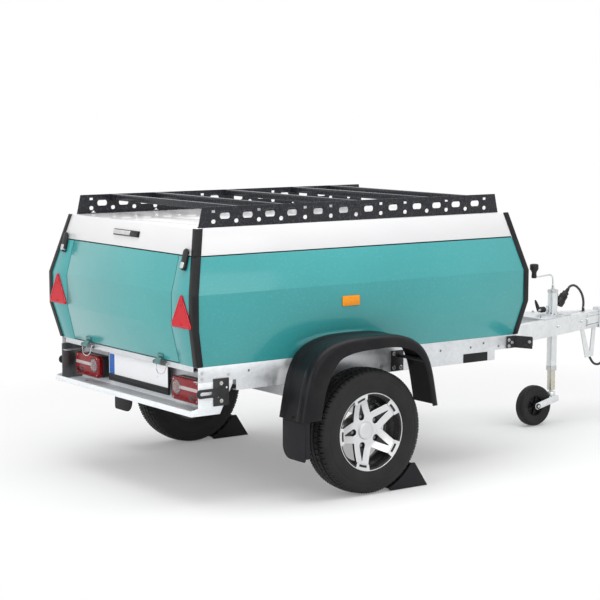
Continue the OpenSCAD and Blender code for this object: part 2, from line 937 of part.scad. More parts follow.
module rear_brackets() {
  foot_x0 = 117;
  foot_x1 = 195;
  foot_z0 = 443;
  foot_h = 118;
  arm_h = 38;
  arm_reach = 88;
  arm_z = foot_z0 + foot_h / 2;
  color("#232326") placed()
    for (s = [-1, 1])
      on_side(s) {
        block([foot_x0, base_half_w, foot_z0], [foot_x1, base_half_w + 5, foot_z0 + foot_h]);
        translate([0, base_half_w + 11, 0])
          rotate([90, 0, 0])
            linear_extrude(6)
              difference() {
                hull() {
                  translate([foot_x0 - arm_reach + arm_h / 2, arm_z])
                    circle(arm_h / 2);
                  translate([foot_x0 + 20, arm_z - arm_h / 2])
                    square([10, arm_h]);
                }
                hull() {
                  translate([foot_x0 - arm_reach + arm_h / 2 + 6, arm_z])
                    circle(8);
                  translate([foot_x0 - 14, arm_z])
                    circle(7);
                }
              }
      }
}

// ---- front position lamps ----

module front_lamp(s) {
  foot_x1 = body_len - 52;
  foot_len = 53;
  leg_len = 94;
  leg_turn = 22;
  low_z = rail_low_z + 2;
  color("#232326") placed() on_side(s) {
    block([foot_x1 - foot_len, base_half_w, low_z], [foot_x1, base_half_w + 5, base_z - 6]);
    translate([foot_x1, base_half_w, 0])
      rotate([0, 0, -leg_turn]) {
        block([-5, 0.2, low_z], [0, leg_len, base_z - 6]);
        facing(-seat / 2, leg_len - 46, low_z + 30, 24)
          rounded_rect(74, 50, 10);
      }
  }
}

// ---- small parts on the box ----

latch_y = 530;

module lid_latches() {
  base_h = 62;
  color("#2a2a2d") placed()
    for (s = [-1, 1])
      on_side(s) {
        tilt = atan(top_in_x / (shoulder_h + lid_h));
        translate([seam_in_x, latch_y, seam_z])
          rotate([0, tilt, 0]) {
            block([-6, -17, -base_h], [-seat, 17, -seam_gap / 2 - 1]);
            block([-15, -11, -base_h + 8], [-6 + seat, 11, -16]);
            block([-15, -11, -18], [-9, 11, 24]);
          }
      }
}

module reflectors() {
  tri_h = triangle_side * sqrt(3) / 2;
  amber_w = 95;
  amber_h = 45;
  amber_z = belt_low_z + waist_h / 2;
  color("#d02030") placed() {
    for (s = [-1, 1])
      on_side(s) {
        facing(-reflector_t, (gate_half_w + seam_gap + half_w - trim_leg) / 2 + 1, belt_low_z + 5, reflector_t)
          offset(11)
            offset(-11)
              polygon([[-triangle_side / 2, 0], [triangle_side / 2, 0], [0, tri_h]]);
        translate([axle_x, half_w + 7, amber_z])
          rotate([90, 0, 0])
            linear_extrude(7)
              rounded_rect(amber_w, amber_h, 4);
      }
  }
}

module lid_handle() {
  tilt = atan(top_in_x / (shoulder_h + lid_h));
  mid_z = seam_z + 62;
  x = top_in_x * (mid_z - belt_high_z) / (shoulder_h + lid_h);
  color("#4a4c4e") placed()
    translate([x, 0, mid_z])
      rotate([0, tilt, 0]) {
        block([-5, -112, -14], [-seat, 112, 14]);
        block([-14, -112, 6], [-5 + seat, 112, 12]);
      }
}

// Knuckle with its bore, between y0 and y1 on a hinge axis
module knuckle(x, z, y0, y1, clear) {
  difference() {
    y_rod(x, z, pin_r + 3.5, y0, y1);
    y_rod(x, z, pin_r + clear, y0 - 1, y1 + 1);
  }
}

module body_hinges() {
  third = hinge_w / 3;
  tilt = atan(top_in_x / (shoulder_h + lid_h));
  color("#3c3f41") placed()
    for (s = [-1, 1])
      on_side(s) {
        // lid hinge: pin, one outer knuckle and the leaf on the front wall
        y_rod(lid_axis_x, lid_axis_z, pin_r, lid_hinge_y - hinge_w / 2, lid_hinge_y + hinge_w / 2);
        for (y = [lid_hinge_y - hinge_w / 2, lid_hinge_y + hinge_w / 2 - third + 1])
          difference() {
            union() {
              y_rod(lid_axis_x, lid_axis_z, pin_r + 3.5, y, y + third - 1);
              translate([body_len - seam_in_x, y, seam_z])
                rotate([0, -tilt, 0])
                  block([seat, 0, -14], [12, third - 1, -4]);
            }
            y_rod(lid_axis_x, lid_axis_z, pin_r + 0.2, y - 1, y + third);
          }
        translate([body_len - seam_in_x, lid_hinge_y, seam_z])
          rotate([0, -tilt, 0])
            block([seat, -hinge_w / 2, -46], [4, hinge_w / 2, -seam_gap / 2 - 9]);
        // tailgate hinge: pin and two cheeks that stand on the rear cross member
        y_rod(gate_axis_x, gate_axis_z, pin_r, gate_hinge_y - hinge_w / 2, gate_hinge_y + hinge_w / 2);
        for (y = [gate_hinge_y - hinge_w / 2, gate_hinge_y + hinge_w / 2 - 6])
          translate([0, y + 6, 0])
            rotate([90, 0, 0])
              linear_extrude(6)
                hull() {
                  translate([gate_axis_x, gate_axis_z])
                    circle(9);
                  translate([rail_x0 - 4, base_z - cross_h + 1])
                    square([4, 16]);
                }
        block([rail_x0 - 4, gate_hinge_y - hinge_w / 2, base_z - cross_h + 1], [rail_x0, gate_hinge_y + hinge_w / 2, base_z - 8]);
      }
}

module lid_hinges() {
  third = hinge_w / 3;
  tilt = atan(top_in_x / (shoulder_h + lid_h));
  color("#3c3f41") placed()
    for (s = [-1, 1])
      on_side(s)
        difference() {
          union() {
            y_rod(lid_axis_x, lid_axis_z, pin_r + 3.5, lid_hinge_y - third / 2 + 0.5, lid_hinge_y + third / 2 - 0.5);
            translate([body_len - seam_in_x, lid_hinge_y, seam_z])
              rotate([0, -tilt, 0])
                block([seat, -third / 2 + 0.5, 4], [12, third / 2 - 0.5, 14]);
            translate([body_len - seam_in_x, lid_hinge_y, seam_z])
              rotate([0, -tilt, 0])
                block([seat, -hinge_w / 2, seam_gap / 2 + 8], [4, hinge_w / 2, 48]);
          }
          y_rod(lid_axis_x, lid_axis_z, pin_r + pin_clear, 0, body_w);
        }
}

module tailgate_hinges() {
  width = hinge_w - 16;
  tilt = atan(base_in_x / low_crease_h);
  color("#3c3f41") placed()
    for (s = [-1, 1])
      on_side(s)
        difference() {
          union() {
            y_rod(gate_axis_x, gate_axis_z, pin_r + 3.5, gate_hinge_y - width / 2, gate_hinge_y + width / 2);
            translate([0, gate_hinge_y + width / 2, 0])
              rotate([90, 0, 0])
                linear_extrude(width)
                  polygon([[gate_axis_x - 6, gate_axis_z + 4], [gate_axis_x + 6, gate_axis_z + 3],
                    [gate_axis_x + 14, gate_axis_z + 16], [gate_axis_x + 5, gate_axis_z + 20]]);
            translate([base_in_x, gate_hinge_y, base_z])
              rotate([0, -tilt, 0])
                block([-5, -width / 2, 9], [-seat, width / 2, 30]);
          }
          y_rod(gate_axis_x, gate_axis_z, pin_r + pin_clear, 0, body_w);
        }
}

// ---- rack ----

// Distances of the oval holes from the middle of the rack, on one side
function oval_offsets() = concat([for (k = [0:2]) rack_pitch_mid * (k + 0.5)],
  [for (k = [1:3]) rack_pitch_mid * 2.5 + rack_pitch_end * k]);

// Distances of the columns between the oval holes
function column_offsets() = concat([for (k = [0:2]) rack_pitch_mid * k],
  [rack_pitch_mid * 2.5 + rack_pitch_end * 0.5],
  [for (k = [1:3]) rack_pitch_mid * 2.5 + rack_pitch_end * (k + 0.5)]);

crossbar_columns = [-column_offsets()[5], -column_offsets()[3], 0, column_offsets()[3], column_offsets()[5]];
rack_z0 = top_z;

module rack_panel(s) {
  flange = 24;
  oval_w = 53;
  oval_h = 26;
  hole_w = 23;
  hole_h = 18;
  slot_w = 19;
  slot_h = 11;
  color("#333338") placed() on_side(s)
    union() {
      translate([0, rack_half_w, rack_z0])
        rotate([90, 0, 0])
          linear_extrude(rack_t)
            difference() {
              polygon([[rack_x0, 0], [rack_x0 + rack_len, 0], [rack_x0 + rack_len - rack_slant, rack_h],
                [rack_x0 + rack_slant, rack_h]]);
              for (d = oval_offsets(), m = [-1, 1])
                translate([rack_mid_x + m * d, rack_h * 0.54])
                  rounded_rect(oval_w, oval_h, 11);
              for (d = column_offsets(), m = [-1, 1])
                translate([rack_mid_x + m * d, rack_h * 0.28])
                  rounded_rect(hole_w, hole_h, 8.5);
              for (k = [1, 2, 4, 6], m = [-1, 1])
                translate([rack_mid_x + m * column_offsets()[k], rack_h * 0.77])
                  square([slot_w, slot_h], center = true);
            }
      block([rack_x0 + 10, rack_half_w - flange, rack_z0],
        [rack_x0 + rack_len - 10, rack_half_w - rack_t + 1, rack_z0 + rack_t]);
    }
}

module rack_crossbars() {
  reach = rack_half_w - rack_t - seat;
  color("#333338") placed()
    for (d = crossbar_columns)
      translate([rack_mid_x + d - crossbar_w / 2, -reach, rack_z0 + rack_h - crossbar_h])
        difference() {
          cube([crossbar_w, 2 * reach, crossbar_h]);
          translate([rack_t, -1, -1])
            cube([crossbar_w, 2 * reach + 2, crossbar_h - rack_t + 1]);
        }
}

// ---- lighting plug and cable ----

module plug_axis() {
  translate(plug_from)
    rotate([0, plug_tilt, 0])
      children();
}

module plug_holder() {
  color("#5a5d60") placed() {
    block([jockey_x + jockey_side / 2 + seat, -16, bar_top_z + 54], [jockey_x + jockey_side / 2 + 4, 16, bar_top_z + 110]);
    difference() {
      union() {
        plug_axis()
          cylinder(h = 26, r = 27);
        block([jockey_x + jockey_side / 2 + 3, -8, 640], [jockey_x + jockey_side / 2 + 24, 8, 676]);
      }
      plug_axis()
        translate([0, 0, 4])
          cylinder(h = 90, r = 23 + seat);
    }
  }
}

module plug() {
  color("#2f3033") placed()
    plug_axis() {
      translate([0, 0, 4 + seat])
        cylinder(h = 58, r = 23);
      translate([0, 0, 60])
        cylinder(h = 20, r = 18);
      translate([0, 0, 78])
        cylinder(h = plug_len - 78, r = 11);
    }
}

// Point on the smooth route through points a, b, c, d at u between b and c
function smooth(a, b, c, d, u) = 0.5 * ((2 * b) + (c - a) * u + (2 * a - 5 * b + 4 * c - d) * u * u
  + (3 * b - a - 3 * c + d) * u * u * u);

cable_last = len(cable_points) - 1;
cable_route = [for (i = [0:cable_last - 1], u = [0, 0.5])
    smooth(cable_points[max(i - 1, 0)], cable_points[i], cable_points[i + 1],
      cable_points[min(i + 2, cable_last)], u), cable_points[cable_last]];

module tube_along(route, d, sides) {
  last = len(route) - 1;
  rings = [for (i = [0:last])
    let (step = route[min(i + 1, last)] - route[max(i - 1, 0)],
      run = step / norm(step),
      over = [0, 1, 0],
      up = cross(run, over))
    for (k = [0:sides - 1])
      route[i] + d / 2 * (cos(k * 360 / sides) * over + sin(k * 360 / sides) * up)];
  walls = [for (i = [0:last - 1], k = [0:sides - 1])
    [i * sides + k, i * sides + (k + 1) % sides, (i + 1) * sides + (k + 1) % sides, (i + 1) * sides + k]];
  caps = [[for (k = [sides - 1:-1:0]) k], [for (k = [0:sides - 1]) last * sides + k]];
  polyhedron(rings, concat(walls, caps), convexity = 6);
}

module lighting_cable() {
  color("#1c1c1e") placed()
    tube_along(cable_route, cable_d, 10);
}

// ---- wheel chocks ----

module chock(s) {
  base_x0 = axle_x + 112;
  back_x = axle_x + 328;
  apex_x = axle_x + sqrt(pow(tyre_r + chock_gap, 2) - pow(tyre_r - chock_h, 2)) + 3;
  color("#2b2b2d") placed() on_side(s)
    translate([0, wheel_y + chock_w / 2, 0])
      rotate([90, 0, 0])
        linear_extrude(chock_w)
          difference() {
            polygon([[base_x0, 0], [back_x, 0], [apex_x + 22, chock_h], [apex_x - 20, chock_h], [base_x0, 24]]);
            translate([axle_x, tyre_r])
              circle(r = tyre_r + chock_gap, $fn = 180);
          }
}

// ---- nodes ----

side_rail(1);  // side_rail_left
side_rail(-1);  // side_rail_right
cross_members();
axle();
drawbar(1);  // drawbar_left
drawbar(-1);  // drawbar_right
cross_plate();
jockey_tube();
coupling();
rear_tray();
rear_lamp(1);  // rear_lamp_left
rear_lamp(-1);  // rear_lamp_right
plate_holder();
number_plate();
rear_brackets();
front_lamp(1);  // front_lamp_left
front_lamp(-1);  // front_lamp_right
load_floor();
side_panel(1);  // side_panel_left
side_panel(-1);  // side_panel_right
front_panel();
rear_corner(1);  // rear_corner_left
rear_corner(-1);  // rear_corner_right
corner_trims();
mudguard(1);  // mudguard_left
mudguard(-1);  // mudguard_right
guard_stays();
lid_latches();
reflectors();
body_hinges();
cable_strut();
plug_holder();
plug();
lighting_cable();
lid();
lid_trims();
rack_panel(1);  // rack_panel_left
rack_panel(-1);  // rack_panel_right
rack_crossbars();
lid_handle();
lid_hinges();
tailgate();
tailgate_hinges();
tyre(1);  // tyre_left
rim(1);  // rim_left
hub(1);  // hub_left
tyre(-1);  // tyre_right
rim(-1);  // rim_right
hub(-1);  // hub_right
jockey_leg();
jockey_fork();
jockey_tyre();
jockey_rim();
chock(1);  // chock_left
chock(-1);  // chock_right
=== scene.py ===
import logging
import math
from dataclasses import dataclass, field
from enum import Enum
from typing import Optional, Sequence

import bmesh
import bpy
from mathutils import Matrix, Vector


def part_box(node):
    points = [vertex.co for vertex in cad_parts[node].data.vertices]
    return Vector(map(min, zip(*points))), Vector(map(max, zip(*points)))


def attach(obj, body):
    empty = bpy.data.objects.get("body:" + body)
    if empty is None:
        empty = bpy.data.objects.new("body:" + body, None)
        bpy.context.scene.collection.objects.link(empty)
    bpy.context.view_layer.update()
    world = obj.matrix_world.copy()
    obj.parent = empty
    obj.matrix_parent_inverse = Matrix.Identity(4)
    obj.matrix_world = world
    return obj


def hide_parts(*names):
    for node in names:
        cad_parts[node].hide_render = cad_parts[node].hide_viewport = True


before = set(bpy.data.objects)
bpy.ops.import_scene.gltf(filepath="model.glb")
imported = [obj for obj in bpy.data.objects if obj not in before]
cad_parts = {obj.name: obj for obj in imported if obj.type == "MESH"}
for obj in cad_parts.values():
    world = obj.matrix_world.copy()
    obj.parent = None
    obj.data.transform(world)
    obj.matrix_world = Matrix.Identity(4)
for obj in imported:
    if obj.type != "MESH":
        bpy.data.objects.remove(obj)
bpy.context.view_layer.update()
REAR_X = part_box("side_panel_left")[0].x

log = logging.getLogger("box_trailer")

Point = Sequence[float]
Triple = tuple[float, float, float]


class Side(Enum):
    """The two sides of the trailer, as the sign of Y."""

    LEFT = 1
    RIGHT = -1

    @property
    def word(self) -> str:
        """Name of the side, as the frame's nodes spell it."""
        return "left" if self is Side.LEFT else "right"


class Axis(Enum):
    """The direction that an outline is drawn out along."""

    X = 0
    Y = 1
    Z = 2


# ---- shader benches ----


class Value:
    """A number that varies over a surface and takes part in sums."""

    def __init__(self, bench: "Bench", socket: bpy.types.NodeSocket) -> None:
        """Holds the output socket that carries the number, with its bench."""
        self.bench = bench
        self.socket = socket

    def _sum(self, operation: str, first: object, second: object) -> "Value":
        """Adds one Math node over two numbers or links and gives its result."""
        made = self.bench.node("ShaderNodeMath", {"operation": operation}, {0: first, 1: second})
        return Value(self.bench, made.outputs[0])

    def __add__(self, other: object) -> "Value":
        """This number plus another."""
        return self._sum("ADD", self, other)

    __radd__ = __add__

    def __mul__(self, other: object) -> "Value":
        """This number times another."""
        return self._sum("MULTIPLY", self, other)

    __rmul__ = __mul__

    def __sub__(self, other: object) -> "Value":
        """This number less another."""
        return self._sum("SUBTRACT", self, other)

    def __rsub__(self, other: object) -> "Value":
        """Another number less this one."""
        return self._sum("SUBTRACT", other, self)

    def __truediv__(self, other: object) -> "Value":
        """This number divided by another."""
        return self._sum("DIVIDE", self, other)

    def __pow__(self, other: object) -> "Value":
        """This number to a power."""
        return self._sum("POWER", self, other)

    def over(self, edge: float) -> "Value":
        """One where this number is more than edge, else zero."""
        return self._sum("GREATER_THAN", self, edge)

    def span(self, low: float, high: float) -> "Value":
        """Stretches the numbers from low to high onto 0 to 1 and clips the rest."""
        made = self.bench.node("ShaderNodeMapRange", {"clamp": True},
                               {0: self, 1: low, 2: high, 3: 0.0, 4: 1.0})
        return Value(self.bench, made.outputs[0])


class Bench:
    """The node tree of one material, with the few tools that every finish uses."""

    def __init__(self, name: str, world: bool = False) -> None:
        """Opens an empty material or world.

        Args:
            name: Name of the material or world.
            world: Whether it is a world.
        """
        self.material = (bpy.data.worlds if world else bpy.data.materials).new(name)
        self.material.use_nodes = True
        self.tree = self.material.node_tree
        self.tree.nodes.clear()
        self.out = self.tree.nodes.new("ShaderNodeOutputWorld" if world else "ShaderNodeOutputMaterial")
        self._place: Optional[bpy.types.NodeSocket] = None

    def node(self, kind: str, settings: Optional[dict] = None,
             inputs: Optional[dict] = None) -> bpy.types.Node:
        """Adds one node of any kind.

        Args:
            kind: The node's type name.
            settings: Properties to set first; "stops" fills a colour ramp.
            inputs: Values or links of its sockets, by name or number.

        Returns:
            The new node.
        """
        made = self.tree.nodes.new(kind)
        for key, value in (settings or {}).items():
            if key == "stops":
                ramp = made.color_ramp
                while len(ramp.elements) < len(value):
                    ramp.elements.new(0.5)
                for element, (place, colour) in zip(ramp.elements, value):
                    element.position = place
                    element.color = (*colour, 1.0)
            else:
                setattr(made, key, value)
        for key, value in (inputs or {}).items():
            socket = made.inputs[key]
            if isinstance(value, Value):
                value = value.socket
            if isinstance(value, bpy.types.NodeSocket):
                self.tree.links.new(value, socket)
            else:
                socket.default_value = value
        return made

    @property
    def place(self) -> bpy.types.NodeSocket:
        """Position on the piece at rest, in metres."""
        if self._place is None:
            self._place = self.node("ShaderNodeTexCoord").outputs["Object"]
        return self._place

    def noise(self, scale: float, detail: float = 2.0, stretch: Point = (1.0, 1.0, 1.0),
              rough: float = 0.5) -> Value:
        """Soft noise.

        Args:
            scale: Waves per metre.
            detail: Octaves of finer noise.
            stretch: Scale along each axis.
            rough: Share of the finer noise.

        Returns:
            The noise, about 0.3 to 0.7.
        """
        put = self.node("ShaderNodeMapping", {}, {"Vector": self.place, "Scale": tuple(stretch)}).outputs[0]
        made = self.node("ShaderNodeTexNoise", {}, {"Vector": put, "Scale": scale, "Detail": detail,
                                                    "Roughness": rough})
        return Value(self, made.outputs[0])

    def cells(self, scale: float, feature: str = "F1", stretch: Point = (1.0, 1.0, 1.0)) -> bpy.types.Node:
        """A Voronoi node over the piece, with so many cells per metre."""
        put = self.node("ShaderNodeMapping", {}, {"Vector": self.place, "Scale": tuple(stretch)}).outputs[0]
        return self.node("ShaderNodeTexVoronoi", {"feature": feature}, {"Vector": put, "Scale": scale})

    def wave(self, phase: Value) -> Value:
        """Sine of a number."""
        return Value(self, self.node("ShaderNodeMath", {"operation": "SINE"}, {0: phase}).outputs[0])

    def reach(self, vector: object) -> Value:
        """Length of a vector."""
        return Value(self, self.node("ShaderNodeVectorMath", {"operation": "LENGTH"}, {0: vector}).outputs[1])

    def seen(self) -> Value:
        """Tells the eye's rays, straight or by way of gloss or clear plastic.

        Returns:
            One for them, else zero.
        """
        paths = self.node("ShaderNodeLightPath").outputs
        camera, gloss, clear = (Value(self, paths[f"Is {kind} Ray"])
                                for kind in ("Camera", "Glossy", "Transmission"))
        return (camera + gloss + clear).span(0.0, 1.0)

    def mix(self, share: Value, first: bpy.types.Node, second: bpy.types.Node) -> None:
        """Ends the tree in a mix of two shaders: 0 for the first, 1 for the second."""
        mixed = self.node("ShaderNodeMixShader", {}, {0: share, 1: first.outputs[0], 2: second.outputs[0]})
        self.tree.links.new(mixed.outputs[0], self.out.inputs[0])

    def axis(self, which: int) -> Value:
        """One coordinate of the place on the piece, in metres."""
        split = self.node("ShaderNodeSeparateXYZ", {}, {0: self.place})
        return Value(self, split.outputs[which])

    def blend(self, mask: object, first: object, second: object) -> bpy.types.NodeSocket:
        """Mixes two colours or links: 0 for the first, 1 for the second."""
        made = self.node("ShaderNodeMix", {"data_type": "RGBA"}, {0: mask, 6: _rgba(first), 7: _rgba(second)})
        return made.outputs[2]

    def bump(self, height: Value, distance: float, strength: float = 1.0) -> bpy.types.NodeSocket:
        """Turns a height of 0 to 1 into a normal; distance is its depth, in metres."""
        made = self.node("ShaderNodeBump", {}, {"Height": height, "Distance": distance, "Strength": strength})
        return made.outputs[0]

    def close(self, inputs: dict) -> bpy.types.Material:
        """Ends the tree in a Principled shader.

        Args:
            inputs: Values or links of the shader's sockets.

        Returns:
            The finished material.
        """
        ready = {key: _rgba(value) if key.endswith("Color") or key == "Coat Tint" else value
                 for key, value in inputs.items()}
        shader = self.node("ShaderNodeBsdfPrincipled", {}, ready)
        self.tree.links.new(shader.outputs[0], self.out.inputs[0])
        return self.material


def _rgba(colour: object) -> object:
    """Gives a plain colour its fourth number.

    Args:
        colour: Three numbers, or a link.

    Returns:
        Four numbers, or the link as it was.
    """
    if isinstance(colour, (tuple, list)) and len(colour) == 3:
        return (*colour, 1.0)
    return colour


# ---- finishes ----


@dataclass(frozen=True)
class Lacquer:
    """Sprayed gloss or satin paint over a smooth panel."""

    name: str
    colour: Triple
    rough: float = 0.3
    coat: float = 0.0
    coat_rough: float = 0.06
    drift: float = 0.05
    peel: float = 0.00002
    shine: float = 0.5

    def material(self) -> bpy.types.Material:
        """Builds the paint.

        Returns:
            The material.
        """
        bench = Bench(self.name)
        broad = bench.noise(2.2, 3.0).span(0.3, 0.7)
        dust = bench.noise(95.0, 4.0).span(0.52, 0.78)
        dark = tuple(part * (1 - self.drift) for part in self.colour)
        light = tuple(min(part * (1 + self.drift) + 0.004, 1.0) for part in self.colour)
        base = bench.blend(broad, dark, light)
        base = bench.blend(dust * 0.06, base, (0.6, 0.58, 0.54))
        rough = bench.noise(26.0, 3.0) * 0.08 + dust * 0.06 + (self.rough - 0.04)
        orange = bench.noise(420.0, 1.0)
        return bench.close({
            "Base Color": base, "Roughness": rough, "Coat Weight": self.coat,
            "Coat Roughness": self.coat_rough, "Specular IOR Level": self.shine,
            "Normal": bench.bump(orange, self.peel)})


@dataclass(frozen=True)
class Galvanised:
    """Hot-dip zinc with its spangle, runs and dull patches."""

    name: str
    tone: Triple = (0.66, 0.68, 0.7)
    grain: float = 75.0
    dull: float = 0.42
    metal: float = 0.9
    spangle: float = 1.0

    def material(self) -> bpy.types.Material:
        """Builds the zinc.

        Returns:
            The material.
        """
        bench = Bench(self.name)
        flakes = bench.cells(self.grain)
        flake = Value(bench, bench.node("ShaderNodeSeparateColor", {},
                                        {0: flakes.outputs["Color"]}).outputs[0])
        fine = bench.noise(380.0, 3.0)
        cloud = bench.noise(7.0, 5.0, rough=0.62).span(0.34, 0.68)
        runs = bench.noise(9.0, 3.0, stretch=(1.0, 1.0, 0.12)).span(0.5, 0.75)
        light = tuple(min(part * 1.1, 0.95) for part in self.tone)
        dark = tuple(part * (1 - 0.12 * self.spangle) for part in self.tone)
        base = bench.blend(flake * 0.55 + cloud * 0.45, dark, light)
        base = bench.blend(runs * 0.3, base, (0.86, 0.87, 0.88))
        rough = flake * (0.13 * self.spangle) + cloud * 0.1 + fine * 0.1 + (self.dull - 0.16)
        return bench.close({
            "Base Color": base, "Metallic": self.metal - cloud * 0.25, "Roughness": rough,
            "Normal": bench.bump(flake * (0.3 * self.spangle) + fine * 0.7, 0.0001, 0.7)})


@dataclass(frozen=True)
class Moulded:
    """Moulded plastic or rubber with a fine grain and rubbed high spots."""

    name: str
    colour: Triple = (0.022, 0.022, 0.024)
    rough: float = 0.45
    grain: float = 900.0
    depth: float = 0.00016
    haze: float = 0.12
    haze_colour: Triple = (0.12, 0.116, 0.112)
    shine: float = 0.24

    def material(self) -> bpy.types.Material:
        """Builds the plastic.

        Returns:
            The material.
        """
        bench = Bench(self.name)
        leather = Value(bench, bench.cells(self.grain).outputs["Distance"])
        cloud = bench.noise(11.0, 4.0).span(0.4, 0.72)
        specks = bench.noise(160.0, 3.0).span(0.55, 0.8)
        base = bench.blend(cloud * self.haze + specks * (self.haze * 0.6), self.colour, self.haze_colour)
        rough = cloud * 0.1 + specks * 0.08 + self.rough
        return bench.close({
            "Base Color": base, "Roughness": rough, "Specular IOR Level": self.shine,
            "Normal": bench.bump(leather, self.depth, 0.8)})


@dataclass(frozen=True)
class Turned:
    """Machined metal with concentric tool marks round a wheel's axis."""

    name: str
    colour: Triple
    centre: Triple
    rough: float = 0.22
    pitch: float = 5200.0

    def material(self) -> bpy.types.Material:
        """Builds the machined metal.

        Returns:
            The material.
        """
        bench = Bench(self.name)
        away = bench.node("ShaderNodeVectorMath", {"operation": "SUBTRACT"}, {0: bench.place, 1: self.centre})
        flat = bench.node("ShaderNodeVectorMath", {"operation": "MULTIPLY"},
                          {0: away.outputs[0], 1: (1.0, 0.0, 1.0)})
        mark = bench.wave(bench.reach(flat.outputs[0]) * self.pitch)
        cloud = bench.noise(30.0, 3.0).span(0.35, 0.7)
        light = tuple(min(part * 1.08, 0.97) for part in self.colour)
        base = bench.blend(cloud, self.colour, light)
        return bench.close({
            "Base Color": base, "Metallic": 1.0, "Roughness": cloud * 0.1 + mark * 0.03 + self.rough,
            "Normal": bench.bump(mark * 0.5 + 0.5, 0.00003, 0.6)})


@dataclass(frozen=True)
class Plated:
    """Bright or dull plated steel, such as bolts, wire and pins."""

    name: str
    colour: Triple = (0.62, 0.63, 0.64)
    rough: float = 0.28
    stain: Triple = (0.42, 0.4, 0.36)

    def material(self) -> bpy.types.Material:
        """Builds the plating.

        Returns:
            The material.
        """
        bench = Bench(self.name)
        cloud = bench.noise(34.0, 4.0).span(0.42, 0.72)
        brush = bench.noise(260.0, 2.0, stretch=(1.0, 1.0, 0.15))
        base = bench.blend(cloud * 0.5, self.colour, self.stain)
        return bench.close({
            "Base Color": base, "Metallic": 1.0,
            "Roughness": cloud * 0.14 + brush * 0.1 + (self.rough - 0.06),
            "Normal": bench.bump(brush, 0.00004, 0.5)})


@dataclass(frozen=True)
class Lens:
    """Lamp or reflector plastic with its moulded prisms."""

    name: str
    colour: Triple
    deep: Triple
    prism: float = 240.0
    rough: float = 0.1
    glow: float = 0.0
    coat: float = 0.25

    def material(self) -> bpy.types.Material:
        """Builds the lens.

        Returns:
            The material.
        """
        bench = Bench(self.name)
        cube = Value(bench, bench.cells(self.prism, stretch=(0.2, 1.0, 1.0)).outputs["Distance"])
        wave = bench.wave(bench.axis(2) * (self.prism * 3.0))
        base = bench.blend((cube * 1.4).span(0.1, 0.9), self.colour, self.deep)
        return bench.close({
            "Base Color": base, "Roughness": cube * 0.08 + self.rough, "Coat Weight": self.coat,
            "Coat Roughness": 0.04, "Specular IOR Level": 0.3,
            "Subsurface Weight": self.glow, "Subsurface Radius": (0.01, 0.003, 0.002),
            "Normal": bench.bump(cube * 0.6 + wave * 0.2, 0.0005, 0.5)})


@dataclass(frozen=True)
class ClearCover:
    """Clear plastic over a lamp."""

    name: str
    tint: Triple = (0.95, 0.95, 0.95)

    def material(self) -> bpy.types.Material:
        """Builds the cover.

        Returns:
            The material.
        """
        bench = Bench(self.name)
        haze = bench.noise(120.0, 2.0)
        rings = Value(bench, bench.cells(300.0).outputs["Distance"])
        return bench.close({
            "Base Color": bench.blend(haze * 0.2, self.tint, (0.8, 0.82, 0.84)),
            "Roughness": haze * 0.06 + 0.03, "Transmission Weight": 0.85, "IOR": 1.49,
            "Normal": bench.bump(rings, 0.0003, 0.4)})


@dataclass(frozen=True)
class FilmedBoard:
    """Film-faced plywood with its wire-mesh print."""

    name: str = "filmed_board"
    colour: Triple = (0.075, 0.04, 0.022)

    def material(self) -> bpy.types.Material:
        """Builds the board.

        Returns:
            The material.
        """
        bench = Bench(self.name)
        tone = bench.noise(3.0, 4.0, stretch=(0.3, 1.0, 1.0)).span(0.3, 0.7)
        grid = Value(bench, bench.cells(260.0).outputs["Distance"])
        scuff = bench.noise(40.0, 5.0, stretch=(0.2, 1.0, 1.0)).span(0.55, 0.8)
        base = bench.blend(tone, self.colour, tuple(part * 1.7 for part in self.colour))
        base = bench.blend(scuff * 0.35, base, (0.2, 0.15, 0.11))
        return bench.close({
            "Base Color": base, "Roughness": scuff * 0.2 + grid * 0.1 + 0.4,
            "Normal": bench.bump(grid, 0.0005)})


class Store:
    """Keeps one material per finish."""

    def __init__(self) -> None:
        """Starts with none."""
        self._made: dict[str, bpy.types.Material] = {}

    def get(self, finish: object) -> bpy.types.Material:
        """Gives the finish's material, made once.

        Args:
            finish: Any of the finishes.

        Returns:
            Its material.
        """
        if finish.name not in self._made:
            self._made[finish.name] = finish.material()
        return self._made[finish.name]


STORE = Store()

TEAL = Lacquer("teal_paint", (0.036, 0.318, 0.326), rough=0.3, coat=0.45, coat_rough=0.09, shine=0.35)
HINGE_TEAL = Lacquer("hinge_teal", (0.02, 0.16, 0.155), rough=0.34, coat=0.6)
# A slightly lighter, glossier copy of the teal paint for the tailgate: painted light, for a rear face that
# looks lighter where it reflects the light.
TEAL_LIT_COPY = Lacquer("teal_paint_lit_copy", (0.038, 0.326, 0.33), rough=0.3, coat=0.8, coat_rough=0.09, shine=0.4)
LID_WHITE = Lacquer("lid_gloss", (0.73, 0.73, 0.74), rough=0.3, coat=0.55, coat_rough=0.1, drift=0.015,
                    peel=0.000005)
RACK_BLACK = Lacquer("rack_powder_coat", (0.014, 0.015, 0.02), rough=0.27, peel=0.00001, shine=0.3)
BRACKET_BLACK = Lacquer("bracket_powder_coat", (0.02, 0.02, 0.022), rough=0.4, coat=0.1, coat_rough=0.3,
                        peel=0.00008, shine=0.3)
TRIM_BLACK = Moulded("trim_plastic", (0.012, 0.0125, 0.014), rough=0.34, shine=0.18, grain=1500.0,
                     depth=0.00004, haze=0.06)
GUARD_BLACK = Moulded("guard_plastic", (0.007, 0.007, 0.0085), rough=0.33, shine=0.16, grain=700.0, haze=0.05)
HOLDER_BLACK = Moulded("holder_plastic", (0.018, 0.018, 0.02), rough=0.36, grain=1300.0, depth=0.00005,
                       haze=0.05)
FLAP_RUBBER = Moulded("flap_rubber", (0.011, 0.0105, 0.013), rough=0.5, shine=0.18, grain=1000.0, haze=0.05)
